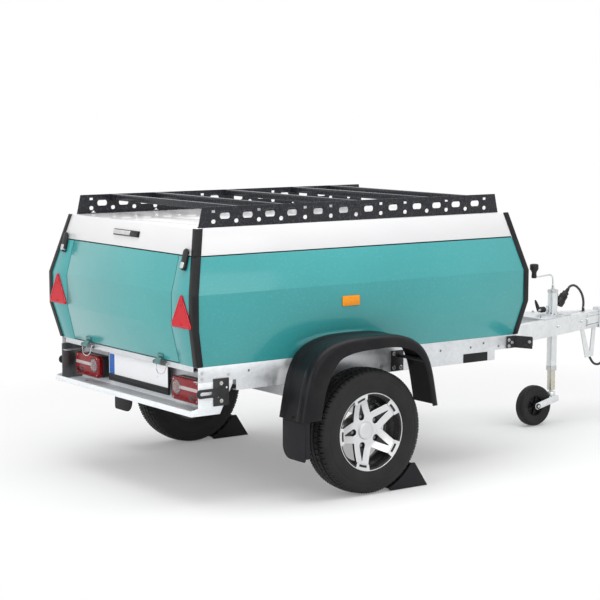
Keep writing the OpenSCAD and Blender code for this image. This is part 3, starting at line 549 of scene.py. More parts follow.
TYRE_RUBBER = Moulded("tyre_rubber", (0.0115, 0.0115, 0.012), rough=0.54, grain=1200.0, depth=0.00012,
                      haze=0.14, haze_colour=(0.07, 0.067, 0.063))
CABLE_RUBBER = Moulded("cable_rubber", (0.045, 0.045, 0.05), rough=0.42, grain=1500.0, depth=0.00004)
SEAL_RUBBER = Moulded("seal_rubber", (0.012, 0.012, 0.013), rough=0.6, grain=1500.0, depth=0.00004)
ZINC = Galvanised("galvanised_steel", spangle=0.7)
ZINC_BAR = Galvanised("galvanised_drawbar", (0.74, 0.76, 0.77), grain=60.0, dull=0.4, spangle=0.7)
ZINC_TRAY = Galvanised("galvanised_tray", (0.82, 0.85, 0.89), grain=90.0, dull=0.5, metal=0.3, spangle=0.4)
ZINC_LEG = Galvanised("passivated_leg", (0.6, 0.59, 0.5), grain=160.0, dull=0.34)
BOLT = Plated("bolt_zinc")
WIRE = Plated("wire_bright", (0.72, 0.73, 0.74), rough=0.2)
DARK_STEEL = Plated("hinge_steel", (0.2, 0.21, 0.21), rough=0.34, stain=(0.1, 0.1, 0.1))
HUB_STEEL = Plated("hub_steel", (0.28, 0.28, 0.28), rough=0.45, stain=(0.16, 0.13, 0.11))
CAST = Plated("cast_head", (0.72, 0.74, 0.75), rough=0.45, stain=(0.6, 0.61, 0.62))
RED_LENS = Lens("red_lens", (0.46, 0.006, 0.012), (0.17, 0.002, 0.005), glow=0.1, rough=0.14, coat=0.15)
DARK_RED_LENS = Lens("dark_red_lens", (0.16, 0.004, 0.008), (0.07, 0.002, 0.004))
RED_REFLECTOR = Lens("red_reflector", (0.7, 0.008, 0.025), (0.4, 0.004, 0.014), prism=330.0, glow=0.1,
                     coat=0.08)
REFLECTOR_FACE = Lens("reflector_face", (0.74, 0.007, 0.025), (0.5, 0.004, 0.014), prism=330.0, rough=0.3,
                      coat=0.0)
AMBER = Lens("amber_reflector", (0.97, 0.39, 0.008), (0.86, 0.28, 0.004), prism=300.0, glow=0.1, coat=0.15)
MILKY = Lens("milky_lens", (0.72, 0.66, 0.66), (0.5, 0.44, 0.45), prism=420.0)
CLEAR = ClearCover("clear_cover")
PLATE_WHITE = Lacquer("plate_sheet", (0.92, 0.93, 0.95), rough=0.36, drift=0.01, peel=0.00005)
BAND_BLUE = Lacquer("plate_band", (0.01, 0.13, 0.5), rough=0.36, drift=0.03, shine=0.3)
RIM_POCKET = Lacquer("rim_pocket_black", (0.012, 0.012, 0.013), rough=0.36, shine=0.3)
RIM_BARREL = Lacquer("rim_barrel", (0.01, 0.01, 0.011), rough=0.4, shine=0.3)
RIM_SHADOW = Moulded("rim_shadow", (0.008, 0.008, 0.008), rough=0.6)
BOARD = FilmedBoard()


# ---- meshes ----


def workshop(point: Point) -> Vector:
    """Turns millimetres from the waist of the rear face into the frame's metres."""
    return Vector((point[0] / 1000 + REAR_X, point[1] / 1000, point[2] / 1000))


def rounded(width: float, height: float, radius: float, steps: int = 6,
            at: Point = (0.0, 0.0)) -> list[tuple[float, float]]:
    """Outline of a rectangle with round corners.

    Args:
        width: Its width.
        height: Its height.
        radius: Radius of its corners.
        steps: Points per corner, less one.
        at: Its middle.

    Returns:
        The outline, anticlockwise.
    """
    radius = max(min(radius, width / 2 - 0.01, height / 2 - 0.01), 0.01)
    points = []
    for corner, (u, v) in enumerate(((1, 1), (-1, 1), (-1, -1), (1, -1))):
        for step in range(steps + 1):
            turn = math.radians(90 * corner + 90 * step / steps)
            points.append((at[0] + u * (width / 2 - radius) + radius * math.cos(turn),
                           at[1] + v * (height / 2 - radius) + radius * math.sin(turn)))
    return points


def smooth_route(points: Sequence[Point], cuts: int) -> list[Vector]:
    """Smooth line through points.

    Args:
        points: The points that it passes through.
        cuts: Steps between two of them.

    Returns:
        The line's points.
    """
    ends = [Vector(p) for p in points]
    line = []
    for i in range(len(ends) - 1):
        a, b = ends[max(i - 1, 0)], ends[i]
        c, d = ends[i + 1], ends[min(i + 2, len(ends) - 1)]
        for k in range(cuts):
            u = k / cuts
            line.append(0.5 * (2 * b + (c - a) * u + (2 * a - 5 * b + 4 * c - d) * u * u
                               + (3 * b - a - 3 * c + d) * u * u * u))
    return line + [ends[-1]]


class Stock:
    """Gathers the faces of one piece, in workshop millimetres."""

    def __init__(self) -> None:
        """Starts an empty piece."""
        self.points: list[Vector] = []
        self.faces: list[tuple[list[int], int]] = []

    def add(self, points: Sequence[Point], faces: Sequence[Sequence[int]], skin: int = 0,
            turn: Optional[Matrix] = None) -> None:
        """Adds points and faces.

        Args:
            points: Places in millimetres.
            faces: Corner numbers of each face.
            skin: Number of the faces' finish.
            turn: A placement for the points.
        """
        start = len(self.points)
        for point in points:
            place = Vector(point)
            self.points.append(turn @ place if turn is not None else place)
        self.faces.extend(([start + i for i in face], skin) for face in faces)

    def take(self, mesh: bmesh.types.BMesh, skin: int = 0, turn: Optional[Matrix] = None) -> None:
        """Adds a finished mesh and frees it.

        Args:
            mesh: The mesh.
            skin: Number of its finish.
            turn: A placement for it.
        """
        mesh.verts.index_update()
        self.add([v.co.copy() for v in mesh.verts], [[v.index for v in f.verts] for f in mesh.faces], skin,
                 turn)
        mesh.free()

    def block(self, low: Point, high: Point, edge: float = 1.0, skin: int = 0,
              turn: Optional[Matrix] = None) -> None:
        """Adds a block with rounded edges.

        Args:
            low: One corner.
            high: The corner across from it.
            edge: Radius of its edges.
            skin: Number of its finish.
            turn: A placement for it.
        """
        low, high = Vector(map(min, low, high)), Vector(map(max, low, high))
        mesh = bmesh.new()
        bmesh.ops.create_cube(mesh, size=1.0)
        size = high - low
        for vert in mesh.verts:
            vert.co = Vector((vert.co[i] + 0.5) * size[i] + low[i] for i in range(3))
        if edge > 0:
            bmesh.ops.bevel(mesh, geom=mesh.edges[:], offset=min(edge, min(size) * 0.45), segments=2,
                            profile=0.5, affect="EDGES", clamp_overlap=True)
        self.take(mesh, skin, turn)

    def prism(self, outline: Sequence[Point], low: float, high: float, axis: Axis = Axis.X, edge: float = 0.0,
              skin: int = 0, turn: Optional[Matrix] = None) -> None:
        """Draws an outline out along an axis.

        Args:
            outline: Points in the plane across the axis, in X, Y, Z order.
            low: One end on the axis.
            high: The other end.
            axis: The axis.
            edge: Radius of the edges round its ends.
            skin: Number of its finish.
            turn: A placement for it.
        """
        mesh, cut = bmesh.new(), axis.value
        ends = [[mesh.verts.new((*spot[:cut], along, *spot[cut:])) for spot in outline]
                for along in sorted((low, high))]
        caps = [mesh.faces.new(ends[0][::-1]), mesh.faces.new(ends[1])]
        rims = [edge_ for cap in caps for edge_ in cap.edges]
        count = len(outline)
        for i in range(count):
            j = (i + 1) % count
            mesh.faces.new((ends[0][i], ends[0][j], ends[1][j], ends[1][i]))
        bmesh.ops.recalc_face_normals(mesh, faces=mesh.faces[:])
        if edge > 0:
            bmesh.ops.bevel(mesh, geom=rims, offset=edge, segments=2, profile=0.5, affect="EDGES",
                            clamp_overlap=True)
        self.take(mesh, skin, turn)

    def rings(self, rings: Sequence[Sequence[Point]], skin: int = 0, closed: bool = False, caps: bool = False,
              turn: Optional[Matrix] = None, wrap: bool = True) -> None:
        """Joins rings of points with faces.

        Args:
            rings: Rings with the same number of points.
            skin: Number of the faces' finish.
            closed: Whether the last ring joins the first.
            caps: Whether the end rings are closed with a face.
            turn: A placement for them.
            wrap: Whether each ring's end joins its start.
        """
        count = len(rings[0])
        points = [p for ring in rings for p in ring]
        faces = []
        for i in range(len(rings) if closed else len(rings) - 1):
            a, b = i * count, ((i + 1) % len(rings)) * count
            for k in range(count if wrap else count - 1):
                n = (k + 1) % count
                faces.append((a + k, a + n, b + n, b + k))
        if caps:
            faces.append(tuple(range(count))[::-1])
            faces.append(tuple((len(rings) - 1) * count + k for k in range(count)))
        self.add(points, faces, skin, turn)

    def lathe(self, profile: Sequence[Point], centre: Point, axis: Point, steps: int = 48, skin: int = 0,
              closed: bool = False) -> None:
        """Turns a profile about an axis.

        Args:
            profile: Pairs of radius and distance along the axis.
            centre: A point on the axis.
            axis: Its direction.
            steps: Faces round the axis.
            skin: Number of the faces' finish.
            closed: Whether the profile's end joins its start.
        """
        line = Vector(axis).normalized()
        side = line.orthogonal().normalized()
        up = line.cross(side)
        rings = []
        for radius, along in profile:
            radius = max(radius, 0.02)
            rings.append([Vector(centre) + line * along + (side * math.cos(a) + up * math.sin(a)) * radius
                          for a in (2 * math.pi * k / steps for k in range(steps))])
        self.rings(rings, skin, closed)

    def tube(self, points: Sequence[Point], radius: float, sides: int = 10, skin: int = 0) -> None:
        """Runs a round rod along a line.

        Args:
            points: The line.
            radius: Radius of the rod.
            sides: Faces round it.
            skin: Number of its finish.
        """
        line = [Vector(p) for p in points]
        rings = []
        side = None
        for i, point in enumerate(line):
            run = (line[min(i + 1, len(line) - 1)] - line[max(i - 1, 0)]).normalized()
            side = run.orthogonal() if side is None else side - run * side.dot(run)
            side = side.normalized()
            up = run.cross(side)
            rings.append([point + (side * math.cos(a) + up * math.sin(a)) * radius
                          for a in (2 * math.pi * k / sides for k in range(sides))])
        self.rings(rings, skin, caps=True)

    def bolt(self, centre: Point, axis: Point, across: float = 13.0, skin: int = 0,
             washer: bool = True) -> None:
        """Adds a hexagon head on its washer.

        Args:
            centre: Middle of the seat.
            axis: Direction that the head stands out in.
            across: Width across flats.
            skin: Number of its finish.
            washer: Whether it has a washer.
        """
        reach = across / math.sqrt(3)
        high = across * 0.55
        start = 0.0
        if washer:
            start = across * 0.12
            rim = across * 0.88
            self.lathe([(0, start), (across * 0.8, start), (rim, start * 0.5), (rim, 0), (0, 0)], centre,
                       axis, 24, skin)
        self.lathe([(0, start), (reach, start), (reach, start + high * 0.8), (reach * 0.88, start + high),
                    (reach * 0.5, start + high), (reach * 0.4, start + high * 0.9), (0, start + high * 0.9)],
                   centre, axis, 6, skin)

    def dome(self, centre: Point, axis: Point, radius: float, high: float, skin: int = 0) -> None:
        """Adds a domed head.

        Args:
            centre: Middle of the seat.
            axis: Direction that the head stands out in.
            radius: Its radius.
            high: Its height.
            skin: Number of its finish.
        """
        profile = [(radius, 0)] + [(radius * math.cos(a), high * (0.3 + 0.7 * math.sin(a)))
                                   for a in (math.radians(d) for d in range(0, 91, 18))]
        self.lathe(profile, centre, axis, 20, skin)

    def piece(self, name: str, body: str, finishes: Sequence[object], replaces: Sequence[str] = (),
              crease: float = 32.0) -> bpy.types.Object:
        """Turns what was gathered into a piece that rides on a body.

        Args:
            name: Name of the piece.
            body: The body that it moves with.
            finishes: Finish of each skin number.
            replaces: Nodes that it stands for.
            crease: Angle in degrees above which an edge stays sharp.

        Returns:
            The new object.
        """
        mesh = bpy.data.meshes.new(name)
        mesh.from_pydata([workshop(p) for p in self.points], [], [face for face, _ in self.faces])
        mesh.update()
        work = bmesh.new()
        work.from_mesh(mesh)
        bmesh.ops.recalc_face_normals(work, faces=work.faces[:])
        work.to_mesh(mesh)
        work.free()
        for polygon, (_, skin) in zip(mesh.polygons, self.faces):
            polygon.material_index = skin
        for finish in finishes:
            mesh.materials.append(STORE.get(finish))
        return settle(bpy.data.objects.new(name, mesh), body, replaces, crease)


def settle(thing: bpy.types.Object, body: str, replaces: Sequence[str] = (),
           crease: float = 32.0) -> bpy.types.Object:
    """Puts a piece in the scene, on its body.

    Args:
        thing: The piece.
        body: The body that it moves with.
        replaces: Nodes that it stands for.
        crease: Angle in degrees above which an edge stays sharp.

    Returns:
        The same piece.
    """
    bpy.context.scene.collection.objects.link(thing)
    if thing.type == "MESH":
        thing.data.polygons.foreach_set("use_smooth", [True] * len(thing.data.polygons))
        thing.data.set_sharp_from_angle(angle=math.radians(crease))
    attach(thing, body)
    if replaces:
        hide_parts(*replaces)
    return thing


def dress(node: str, finish: object) -> None:
    """Gives a node of the frame a finish.

    Args:
        node: Name of the node.
        finish: Its finish.
    """
    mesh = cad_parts[node].data
    material = STORE.get(finish)
    if not mesh.materials:
        mesh.materials.append(material)
    for i in range(len(mesh.materials)):
        mesh.materials[i] = material


def eased(node: str, width: float, body: str, finish: object) -> None:
    """Makes a copy of a node with its sharp edges rounded over.

    Args:
        node: Name of the node, which the copy stands for.
        width: Radius of the rounding, in millimetres.
        body: The body that it moves with.
        finish: Its finish.
    """
    work = bmesh.new()
    work.from_mesh(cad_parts[node].data)
    bmesh.ops.remove_doubles(work, verts=work.verts[:], dist=0.00001)
    bmesh.ops.dissolve_limit(work, angle_limit=math.radians(1.0), verts=work.verts[:], edges=work.edges[:])
    sharp = [e for e in work.edges if len(e.link_faces) == 2 and e.calc_face_angle(0.0) > math.radians(12)]
    bmesh.ops.bevel(work, geom=sharp, offset=width / 1000, segments=2, profile=0.5, affect="EDGES",
                    clamp_overlap=True)
    mesh = bpy.data.meshes.new(node + "_sheet")
    work.to_mesh(mesh)
    work.free()
    mesh.materials.append(STORE.get(finish))
    for polygon in mesh.polygons:
        polygon.material_index = 0
    settle(bpy.data.objects.new(node + "_sheet", mesh), body, (node,), 40.0)


def tilted(origin: Point, degrees: float, side: Side = Side.LEFT) -> Matrix:
    """Placement on an end face that leans about Y, mirrored on the right side."""
    place = Matrix.Translation(Vector(origin)) @ Matrix.Rotation(math.radians(degrees), 4, "Y")
    return Matrix.Diagonal((1, side.value, 1, 1)) @ place


# ---- stage ----


@dataclass
class Stage:
    """Camera, floor, lamps and white surround."""

    eye: Triple = (-3921.2, -6876.7, 1783.9)
    aim: Triple = (1000.5, -0.4, 599.6)
    lens: float = 106.72
    floor_radius: float = 40.0
    surround_light: float = 0.62

    def camera(self) -> None:
        """Sets up the camera."""
        data = bpy.data.cameras.new("camera")
        data.lens = self.lens
        data.sensor_width = 36.0
        data.shift_x = 0.001
        data.shift_y = 0.062
        data.clip_end = 200.0
        camera = bpy.data.objects.new("camera", data)
        eye, aim = workshop(self.eye), workshop(self.aim)
        camera.location = eye
        camera.rotation_euler = (aim - eye).to_track_quat("-Z", "Y").to_euler()
        bpy.context.scene.collection.objects.link(camera)
        bpy.context.scene.camera = camera

    def floor(self) -> None:
        """Lays the pale floor, which fades into the white surround."""
        work = bmesh.new()
        bmesh.ops.create_circle(work, cap_ends=True, segments=96, radius=self.floor_radius)
        mesh = bpy.data.meshes.new("floor")
        work.to_mesh(mesh)
        work.free()
        bench = Bench("floor_paper")
        paper = bench.node("ShaderNodeBsdfDiffuse", {}, {"Color": (0.86, 0.86, 0.86, 1.0)})
        bright = bench.node("ShaderNodeEmission", {}, {"Color": (1.0, 1.0, 1.0, 1.0), "Strength": 1.0})
        fade = bench.reach(bench.place).span(1.5, 3.0) * 0.8 + 0.2
        bench.mix(fade * bench.seen(), paper, bright)
        mesh.materials.append(bench.material)
        floor = bpy.data.objects.new("floor", mesh)
        floor.location = (0.0, 0.0, -0.0015)
        bpy.context.scene.collection.objects.link(floor)

    def surround(self) -> None:
        """Makes the world white to the eye and plain as a light."""
        bench = Bench("surround", world=True)
        white = {"Color": (1.0, 1.0, 1.0, 1.0)}
        lit = bench.node("ShaderNodeBackground", {}, {**white, "Strength": self.surround_light})
        bright = bench.node("ShaderNodeBackground", {}, {**white, "Strength": 1.0})
        bench.mix(bench.seen(), lit, bright)
        bpy.context.scene.world = bench.material
        bpy.context.scene.view_settings.view_transform = "Standard"

    def lamp(self, name: str, place: Point, aim: Point, size: tuple[float, float], power: float) -> None:
        """Hangs one soft box.

        Args:
            name: Name of the lamp.
            place: Its place, in metres.
            aim: The point that it faces.
            size: Its width and height, in metres.
            power: Its power, in watts.
        """
        data = bpy.data.lights.new(name, "AREA")
        data.shape = "RECTANGLE"
        data.size, data.size_y = size
        data.energy = power
        lamp = bpy.data.objects.new(name, data)
        lamp.location = place
        lamp.rotation_euler = (Vector(aim) - Vector(place)).to_track_quat("-Z", "Y").to_euler()
        lamp.visible_camera = False
        bpy.context.scene.collection.objects.link(lamp)

    def build(self) -> None:
        """Sets up the whole stage."""
        self.camera()
        self.surround()
        self.floor()
        self.lamp("overhead", (-0.6, -0.6, 4.4), (-0.4, 0.0, 0.6), (5.0, 3.6), 150.0)
        self.lamp("side_box", (-1.2, -6.0, 3.0), (-0.3, 0.0, 0.8), (5.0, 3.0), 75.0)
        self.lamp("rear_box", (-7.0, -0.5, 2.6), (-1.4, 0.0, 0.9), (3.6, 2.8), 98.0)


# ---- lighting cable ----


@dataclass
class LightingCable:
    """The cable from below the coupling to the parked plug."""

    diameter: float = 13.0
    plug_start: Triple = (2704.0, 0.0, 641.0)
    plug_tilt: float = 43.0
    plug_length: float = 106.0
    bends: tuple = ((3070, 0, 484), (3074, 0, 452), (3074, 0, 408), (3068, 0, 356), (3050, 0, 312),
                    (3022, 0, 289), (2990, 0, 290), (2966, 0, 306), (2946, 0, 333), (2926, 0, 369),
                    (2910, 0, 411), (2897, 0, 458), (2889, 0, 507), (2887, 0, 556), (2889, 0, 604),
                    (2890, 0, 640), (2882, 0, 672), (2865, 0, 700), (2840, 0, 723), (2812, 0, 734))

    @property
    def axis(self) -> Vector:
        """Direction that the plug points in."""
        turn = math.radians(self.plug_tilt)
        return Vector((math.sin(turn), 0.0, math.cos(turn)))

    @property
    def route(self) -> list[Vector]:
        """The cable's bends, with its end on the plug.

        Returns:
            The points, in millimetres.
        """
        start = Vector(self.plug_start)
        ends = [start + self.axis * (self.plug_length + 14), start + self.axis * (self.plug_length + 1.3)]
        return [Vector(bend) for bend in self.bends] + ends

    def cable(self) -> bpy.types.Object:
        """Lays the cable.

        Returns:
            The curve.
        """
        line = [workshop(p) for p in smooth_route(self.route, 4)]
        data = bpy.data.curves.new("lighting_cable_sheath", "CURVE")
        data.dimensions = "3D"
        data.bevel_depth = self.diameter / 2000
        data.bevel_resolution = 5
        data.use_fill_caps = True
        spline = data.splines.new("POLY")
        spline.points.add(len(line) - 1)
        for point, place in zip(spline.points, line):
            point.co = (*place, 1.0)
        spline.use_smooth = True
        data.materials.append(STORE.get(CABLE_RUBBER))
        return settle(bpy.data.objects.new("lighting_cable_sheath", data), "chassis",
                      ("lighting_cable",))

    def plug(self) -> bpy.types.Object:
        """Builds the parked plug.

        Returns:
            The plug.
        """
        stock = Stock()
        axis = self.axis
        body = [(22.6, 4.6), (22.9, 8), (22.9, 28)]
        for rib in range(5):
            start = 30 + rib * 5.4
            body += [(22.9, start), (21.2, start + 1.1), (21.2, start + 3.2), (22.9, start + 4.3)]
        body += [(22.4, 59), (19.5, 61), (17.6, 65), (17.4, 73), (18, 74), (18, 78.5), (13.6, 80)]
        for ring in range(4):
            start = 81 + ring * 5.6
            body += [(10.9 - ring * 0.5, start), (10.9 - ring * 0.5, start + 3.2),
                     (9.0 - ring * 0.4, start + 3.9), (9.0 - ring * 0.4, start + 5.4)]
        body += [(7.0, 105.4), (0, 105.8)]
        stock.lathe([(0, 4.6)] + body, self.plug_start, axis, 40)
        middle = Vector(self.plug_start) + axis * 34
        lug = Matrix.Translation(middle) @ Matrix.Rotation(math.radians(self.plug_tilt), 4, "Y")
        stock.block((-24.5, -5, -4), (-20, 5, 22), 1.2, 0, lug)
        return stock.piece("plug_shell", "chassis", (HOLDER_BLACK,), ("plug",))

    def build(self) -> None:
        cable = self.cable()
        plug = self.plug()
        line = [workshop(p) for p in smooth_route(self.route, 4)]
        workshop(self.route[0])
        stock = Stock()
        low = Vector(self.route[0])
        stock.lathe([(6.7, -24), (8.6, -22), (10, -8), (11.5, -6), (11.5, 8), (6.7, 9)], low, (0, 0, 1), 28)
        stock.piece("cable_gland", "chassis", (CABLE_RUBBER,))


# ---- box ----


@dataclass
class Box:
    """Panels, tailgate, lid, trims, seals and load floor."""

    base: float = 615.0
    crease: float = 777.0
    waist: float = 925.0
    seam: float = 1083.0
    top: float = 1198.0
    half: float = 635.0
    length: float = 1890.0
    gate_half: float = 462.0
    front_step: float = 40.5
    side_step: float = 43.0

    def panels(self) -> None:
        """Rounds over and paints the panels, the lid and the trims, and finishes the load floor."""
        for node in ("side_panel_left", "side_panel_right", "front_panel", "rear_corner_left",
                     "rear_corner_right"):
            eased(node, 1.2, "chassis", TEAL)
        # The tailgate takes the lighter copy of the teal paint, which is painted light.
        eased("tailgate", 1.6, "tailgate", TEAL_LIT_COPY)
        eased("lid", 1.8, "lid", LID_WHITE)
        for node, body in (("corner_trims", "chassis"), ("lid_trims", "lid")):
            eased(node, 0.9, body, TRIM_BLACK)
        dress("load_floor", BOARD)

    def rear_x(self, z: float) -> float:
        """Place of the rear face at a height.

        Args:
            z: The height.

        Returns:
            Its distance from the waist of the rear face.
        """
        if z < self.crease:
            return 38 * (self.crease - z) / (self.crease - self.base)
        if z > self.waist:
            return 70 * (z - self.waist) / (self.top - self.waist)
        return 0.0

    def seals(self) -> None:
        """Adds the rubber seals of the tailgate and lid, with the angles at the lid's corners."""
        stock = Stock()
        for side in Side:
            edge = side.value * (self.gate_half + 2.5)
            heights = (self.base + 8, self.crease, self.waist, self.seam - 6)
            stock.tube([(self.rear_x(z) + 12, edge, z) for z in heights], 2.2, 8)
        inner = 18
        x0, x1 = self.rear_x(self.seam) + inner, self.length - self.front_step - inner
        y0 = self.half - self.side_step - inner
        loop = [(x0, -y0), (x1, -y0), (x1, y0), (x0, y0)]
        for (ax, ay), (bx, by) in zip(loop, loop[1:]):
            stock.tube([(ax, ay, self.seam - 1.2), (bx, by, self.seam - 1.2)], 1.6, 8)
        rear = Stock()
        rear.tube([(x0, -y0, self.seam + 1.4), (x0, y0, self.seam + 1.4)], 1.6, 8)
        rear.piece("lid_seal", "lid", (SEAL_RUBBER,))
        x0, y0 = self.rear_x(self.seam), self.half - self.side_step - 0.4
        for side in Side:
            for flip in (False, True):
                for low, high in (((-2.3, -29), (1.0, 2.4)), ((-2.3, -1.0), (29, 2.4))):
                    xs = [self.length - x0 - v if flip else x0 + v for v in (low[0], high[0])]
                    ys = [side.value * (y0 + v) for v in (low[1], high[1])]
                    stock.block((xs[0], ys[0], self.seam - 2.6), (xs[1], ys[1], self.seam + 1.7), 0.4)
        stock.piece("box_seals", "chassis", (SEAL_RUBBER,))

    def lid_liner(self) -> None:
        """Adds stiffening ribs inside the lid."""
        stock = Stock()
        for x in (420, 900, 1380):
            stock.prism([(-500, 1181.5), (500, 1181.5), (484, 1168), (-484, 1168)], x - 22, x + 22, Axis.X,
                        2.0)
        stock.piece("lid_ribs", "lid", (LID_WHITE,))

    def floor_fittings(self) -> None:
        """Adds lashing rings on the load floor."""
        stock = Stock()
        for x in (230, 900, 1600):
            for side in (-1, 1):
                y = side * 520
                stock.lathe([(26, 0), (26, 2), (20, 3), (17, 1.2), (0, 1.2), (0, 0)], (x, y, 633), (0, 0, 1),
                            32)
                ring = [(x + 14 * math.cos(a), y + 14 * math.sin(a), 637.5)
                        for a in (math.radians(d) for d in range(0, 361, 20))]
                stock.tube(ring, 2.4, 8)
        stock.piece("lashing_rings", "chassis", (WIRE,))

    def build(self) -> None:
        """Builds the whole box."""
        self.panels()
        self.seals()
        self.lid_liner()
        self.floor_fittings()
        log.info("box: panels, lid, tailgate and trims")


@dataclass
class RearReflectors:
    """Triangles on the corners and amber reflectors on the sides."""

    side: float = 174.0
    middle: float = 549.0
    base: float = 782.0
    thick: float = 8.4
    radius: float = 11.0
    amber_y: float = 635.0
    amber_x: float = 826.0
    amber_z: float = 851.0

    def triangle(self, inset: float) -> list[tuple[float, float]]:
        """Outline of the rounded triangle.

        Args:
            inset: How far the outline is moved in.

        Returns:
            The outline in Y and Z about its lower middle.
        """
        high = self.side * math.sqrt(3) / 2
        middle = Vector((0, high / 3))
        shrink = 1 - inset / 44
        points = []
        for i, corner in enumerate(((-self.side / 2, 0), (self.side / 2, 0), (0, high))):
            arm = middle - Vector(corner)
            centre = Vector(corner) + arm.normalized() * self.radius * 2
            for step in range(7):
                turn = math.radians(150 + 120 * i + 20 * step)
                spot = centre + Vector((math.cos(turn), math.sin(turn))) * self.radius
                points.append(middle + (spot - middle) * shrink)
        return [(p.x, p.y) for p in points]

    def build(self) -> None:
        """Builds all four reflectors."""
        stock = Stock()
        for side in Side:
            stations = ((0, -0.3), (0, -5.0), (1.6, -self.thick + 1.2), (3.2, -self.thick),
                        (8.5, -self.thick), (10.0, -self.thick + 1.6))
            rings = [[(x, side.value * self.middle + u, self.base + v) for u, v in self.triangle(inset)]
                     for inset, x in stations]
            stock.rings(rings[:5])
            stock.rings(rings[4:])
            stock.add(rings[5], [tuple(range(len(rings[5])))], 1)
            for dy, dz in ((0, 96), (0, 13)):
                stock.dome((-self.thick + 0.6, side.value * self.middle + dy, self.base + dz), (-1, 0, 0),
                           4.2, 1.2)
            for inset, out, skin in ((0, 6.4, 2), (5, 6.9, 3)):
                outline = rounded(95 - inset * 2, 45 - inset * 2, 5, at=(self.amber_x, self.amber_z))
                stock.prism(outline, side.value * self.amber_y, side.value * (self.amber_y + out), Axis.Y,
                            1.4, skin)
        stock.piece("reflector_set", "chassis", (RED_REFLECTOR, REFLECTOR_FACE, AMBER, AMBER),
                    ("reflectors",))
        log.info("reflectors: triangles and side markers")


@dataclass
class LidHardware:
    """Latches at the corners, the handle and the hinges."""

    seam_x: float = 40.5
    seam_z: float = 1083.0
    lean: float = 14.38
    latch_y: float = 530.0
    hinge_y: float = 400.0
    bail_y: float = 331.0
    length: float = 1890.0

    def latches(self) -> None:
        """Builds the two toggle latches."""
        stock = Stock()
        for side in Side:
            place = tilted((self.seam_x, self.latch_y, self.seam_z), self.lean, side)
            stock.prism(rounded(34, 58, 8, at=(0, -33)), -5.5, -0.4, Axis.X, 1.2, 0, place)
            rings = [[(x, y, z) for y, z in rounded(37 + 2 * grow, 94 + 2 * grow, 18 + grow, 8, (0, -16))]
                     for grow, x in ((-3.0, -5.0), (0.0, -7.5), (0.0, -12.0), (-2.2, -15.0), (-6.0, -16.6))]
            stock.rings(rings, caps=True, turn=place)
            stock.prism(rounded(24, 28, 7, at=(1, -42)), -19.0, -16.0, Axis.X, 1.2, 1, place)
            stock.lathe([(0, -1), (5.5, -1), (5.5, 15), (4.5, 16), (0, 16)],
                        place @ Vector((-11, -15.5, -50)), place.to_3x3() @ Vector((0, 1, 0)), 20, 1)
        stock.piece("toggle_latches", "chassis", (HOLDER_BLACK, WIRE), ("lid_latches",))

    def handle(self) -> None:
        """Builds the grip on the rear face of the lid."""
        stock = Stock()
        middle = self.seam_z + 62
        place = tilted((Box().rear_x(middle), 0, middle), self.lean)
        stock.prism(rounded(224, 28, 5), -4.6, -0.4, Axis.X, 1.0, 0, place)
        stock.prism(rounded(146, 20, 4, at=(31, 0)), -12.5, -4.4, Axis.X, 2.4, 1, place)
        stock.prism(rounded(62, 23, 5, at=(-77, 0)), -11.0, -4.4, Axis.X, 2.0, 0, place)
        for y in (-60, 60):
            stock.dome(place @ Vector((-12.4, y + 31, 0)), place.to_3x3() @ Vector((-1, 0, 0)), 3.4, 1.4, 2)
        stock.piece("lid_grip", "lid", (HOLDER_BLACK, WIRE, BOLT), ("lid_handle",))

    def hinges(self) -> None:
        """Finishes the hinges and adds the wire bails below the tailgate."""
        for node in ("body_hinges", "lid_hinges"):
            dress(node, DARK_STEEL)
        dress("tailgate_hinges", HINGE_TEAL)
        stock = Stock()
        for side in Side:
            y = side.value * self.bail_y
            half = ((28, 41, 604), (26, 40, 592), (24, 36, 576), (22, 24, 562))
            bail = [(x, y - dy, z) for x, dy, z in half] + [(21, y, 557)]
            bail += [(x, y + dy, z) for x, dy, z in reversed(half)]
            stock.tube([(38, y - 41, 609)] + smooth_route(bail, 3) + [(38, y + 41, 609)], 2.0, 8)
        stock.piece("tailgate_bails", "chassis", (WIRE,))
        for name, body, heights in (("hinge_screws", "chassis", (-16, -36)),
                                    ("lid_hinge_screws", "lid", (19, 38))):
            screws = Stock()
            for side in Side:
                for dy in (-18, 18):
                    front = tilted((self.length - self.seam_x, self.hinge_y + dy, self.seam_z), -self.lean,
                                   side)
                    for dz in heights:
                        screws.dome(front @ Vector((4.0, 0, dz)), front.to_3x3() @ Vector((1, 0, 0)), 4.2,
                                    2.2)
            screws.piece(name, body, (BOLT,))

    def build(self) -> None:
        """Builds the lid's hardware."""
        self.latches()
        self.handle()
        self.hinges()
        log.info("lid hardware: latches, grip, hinges and bails")


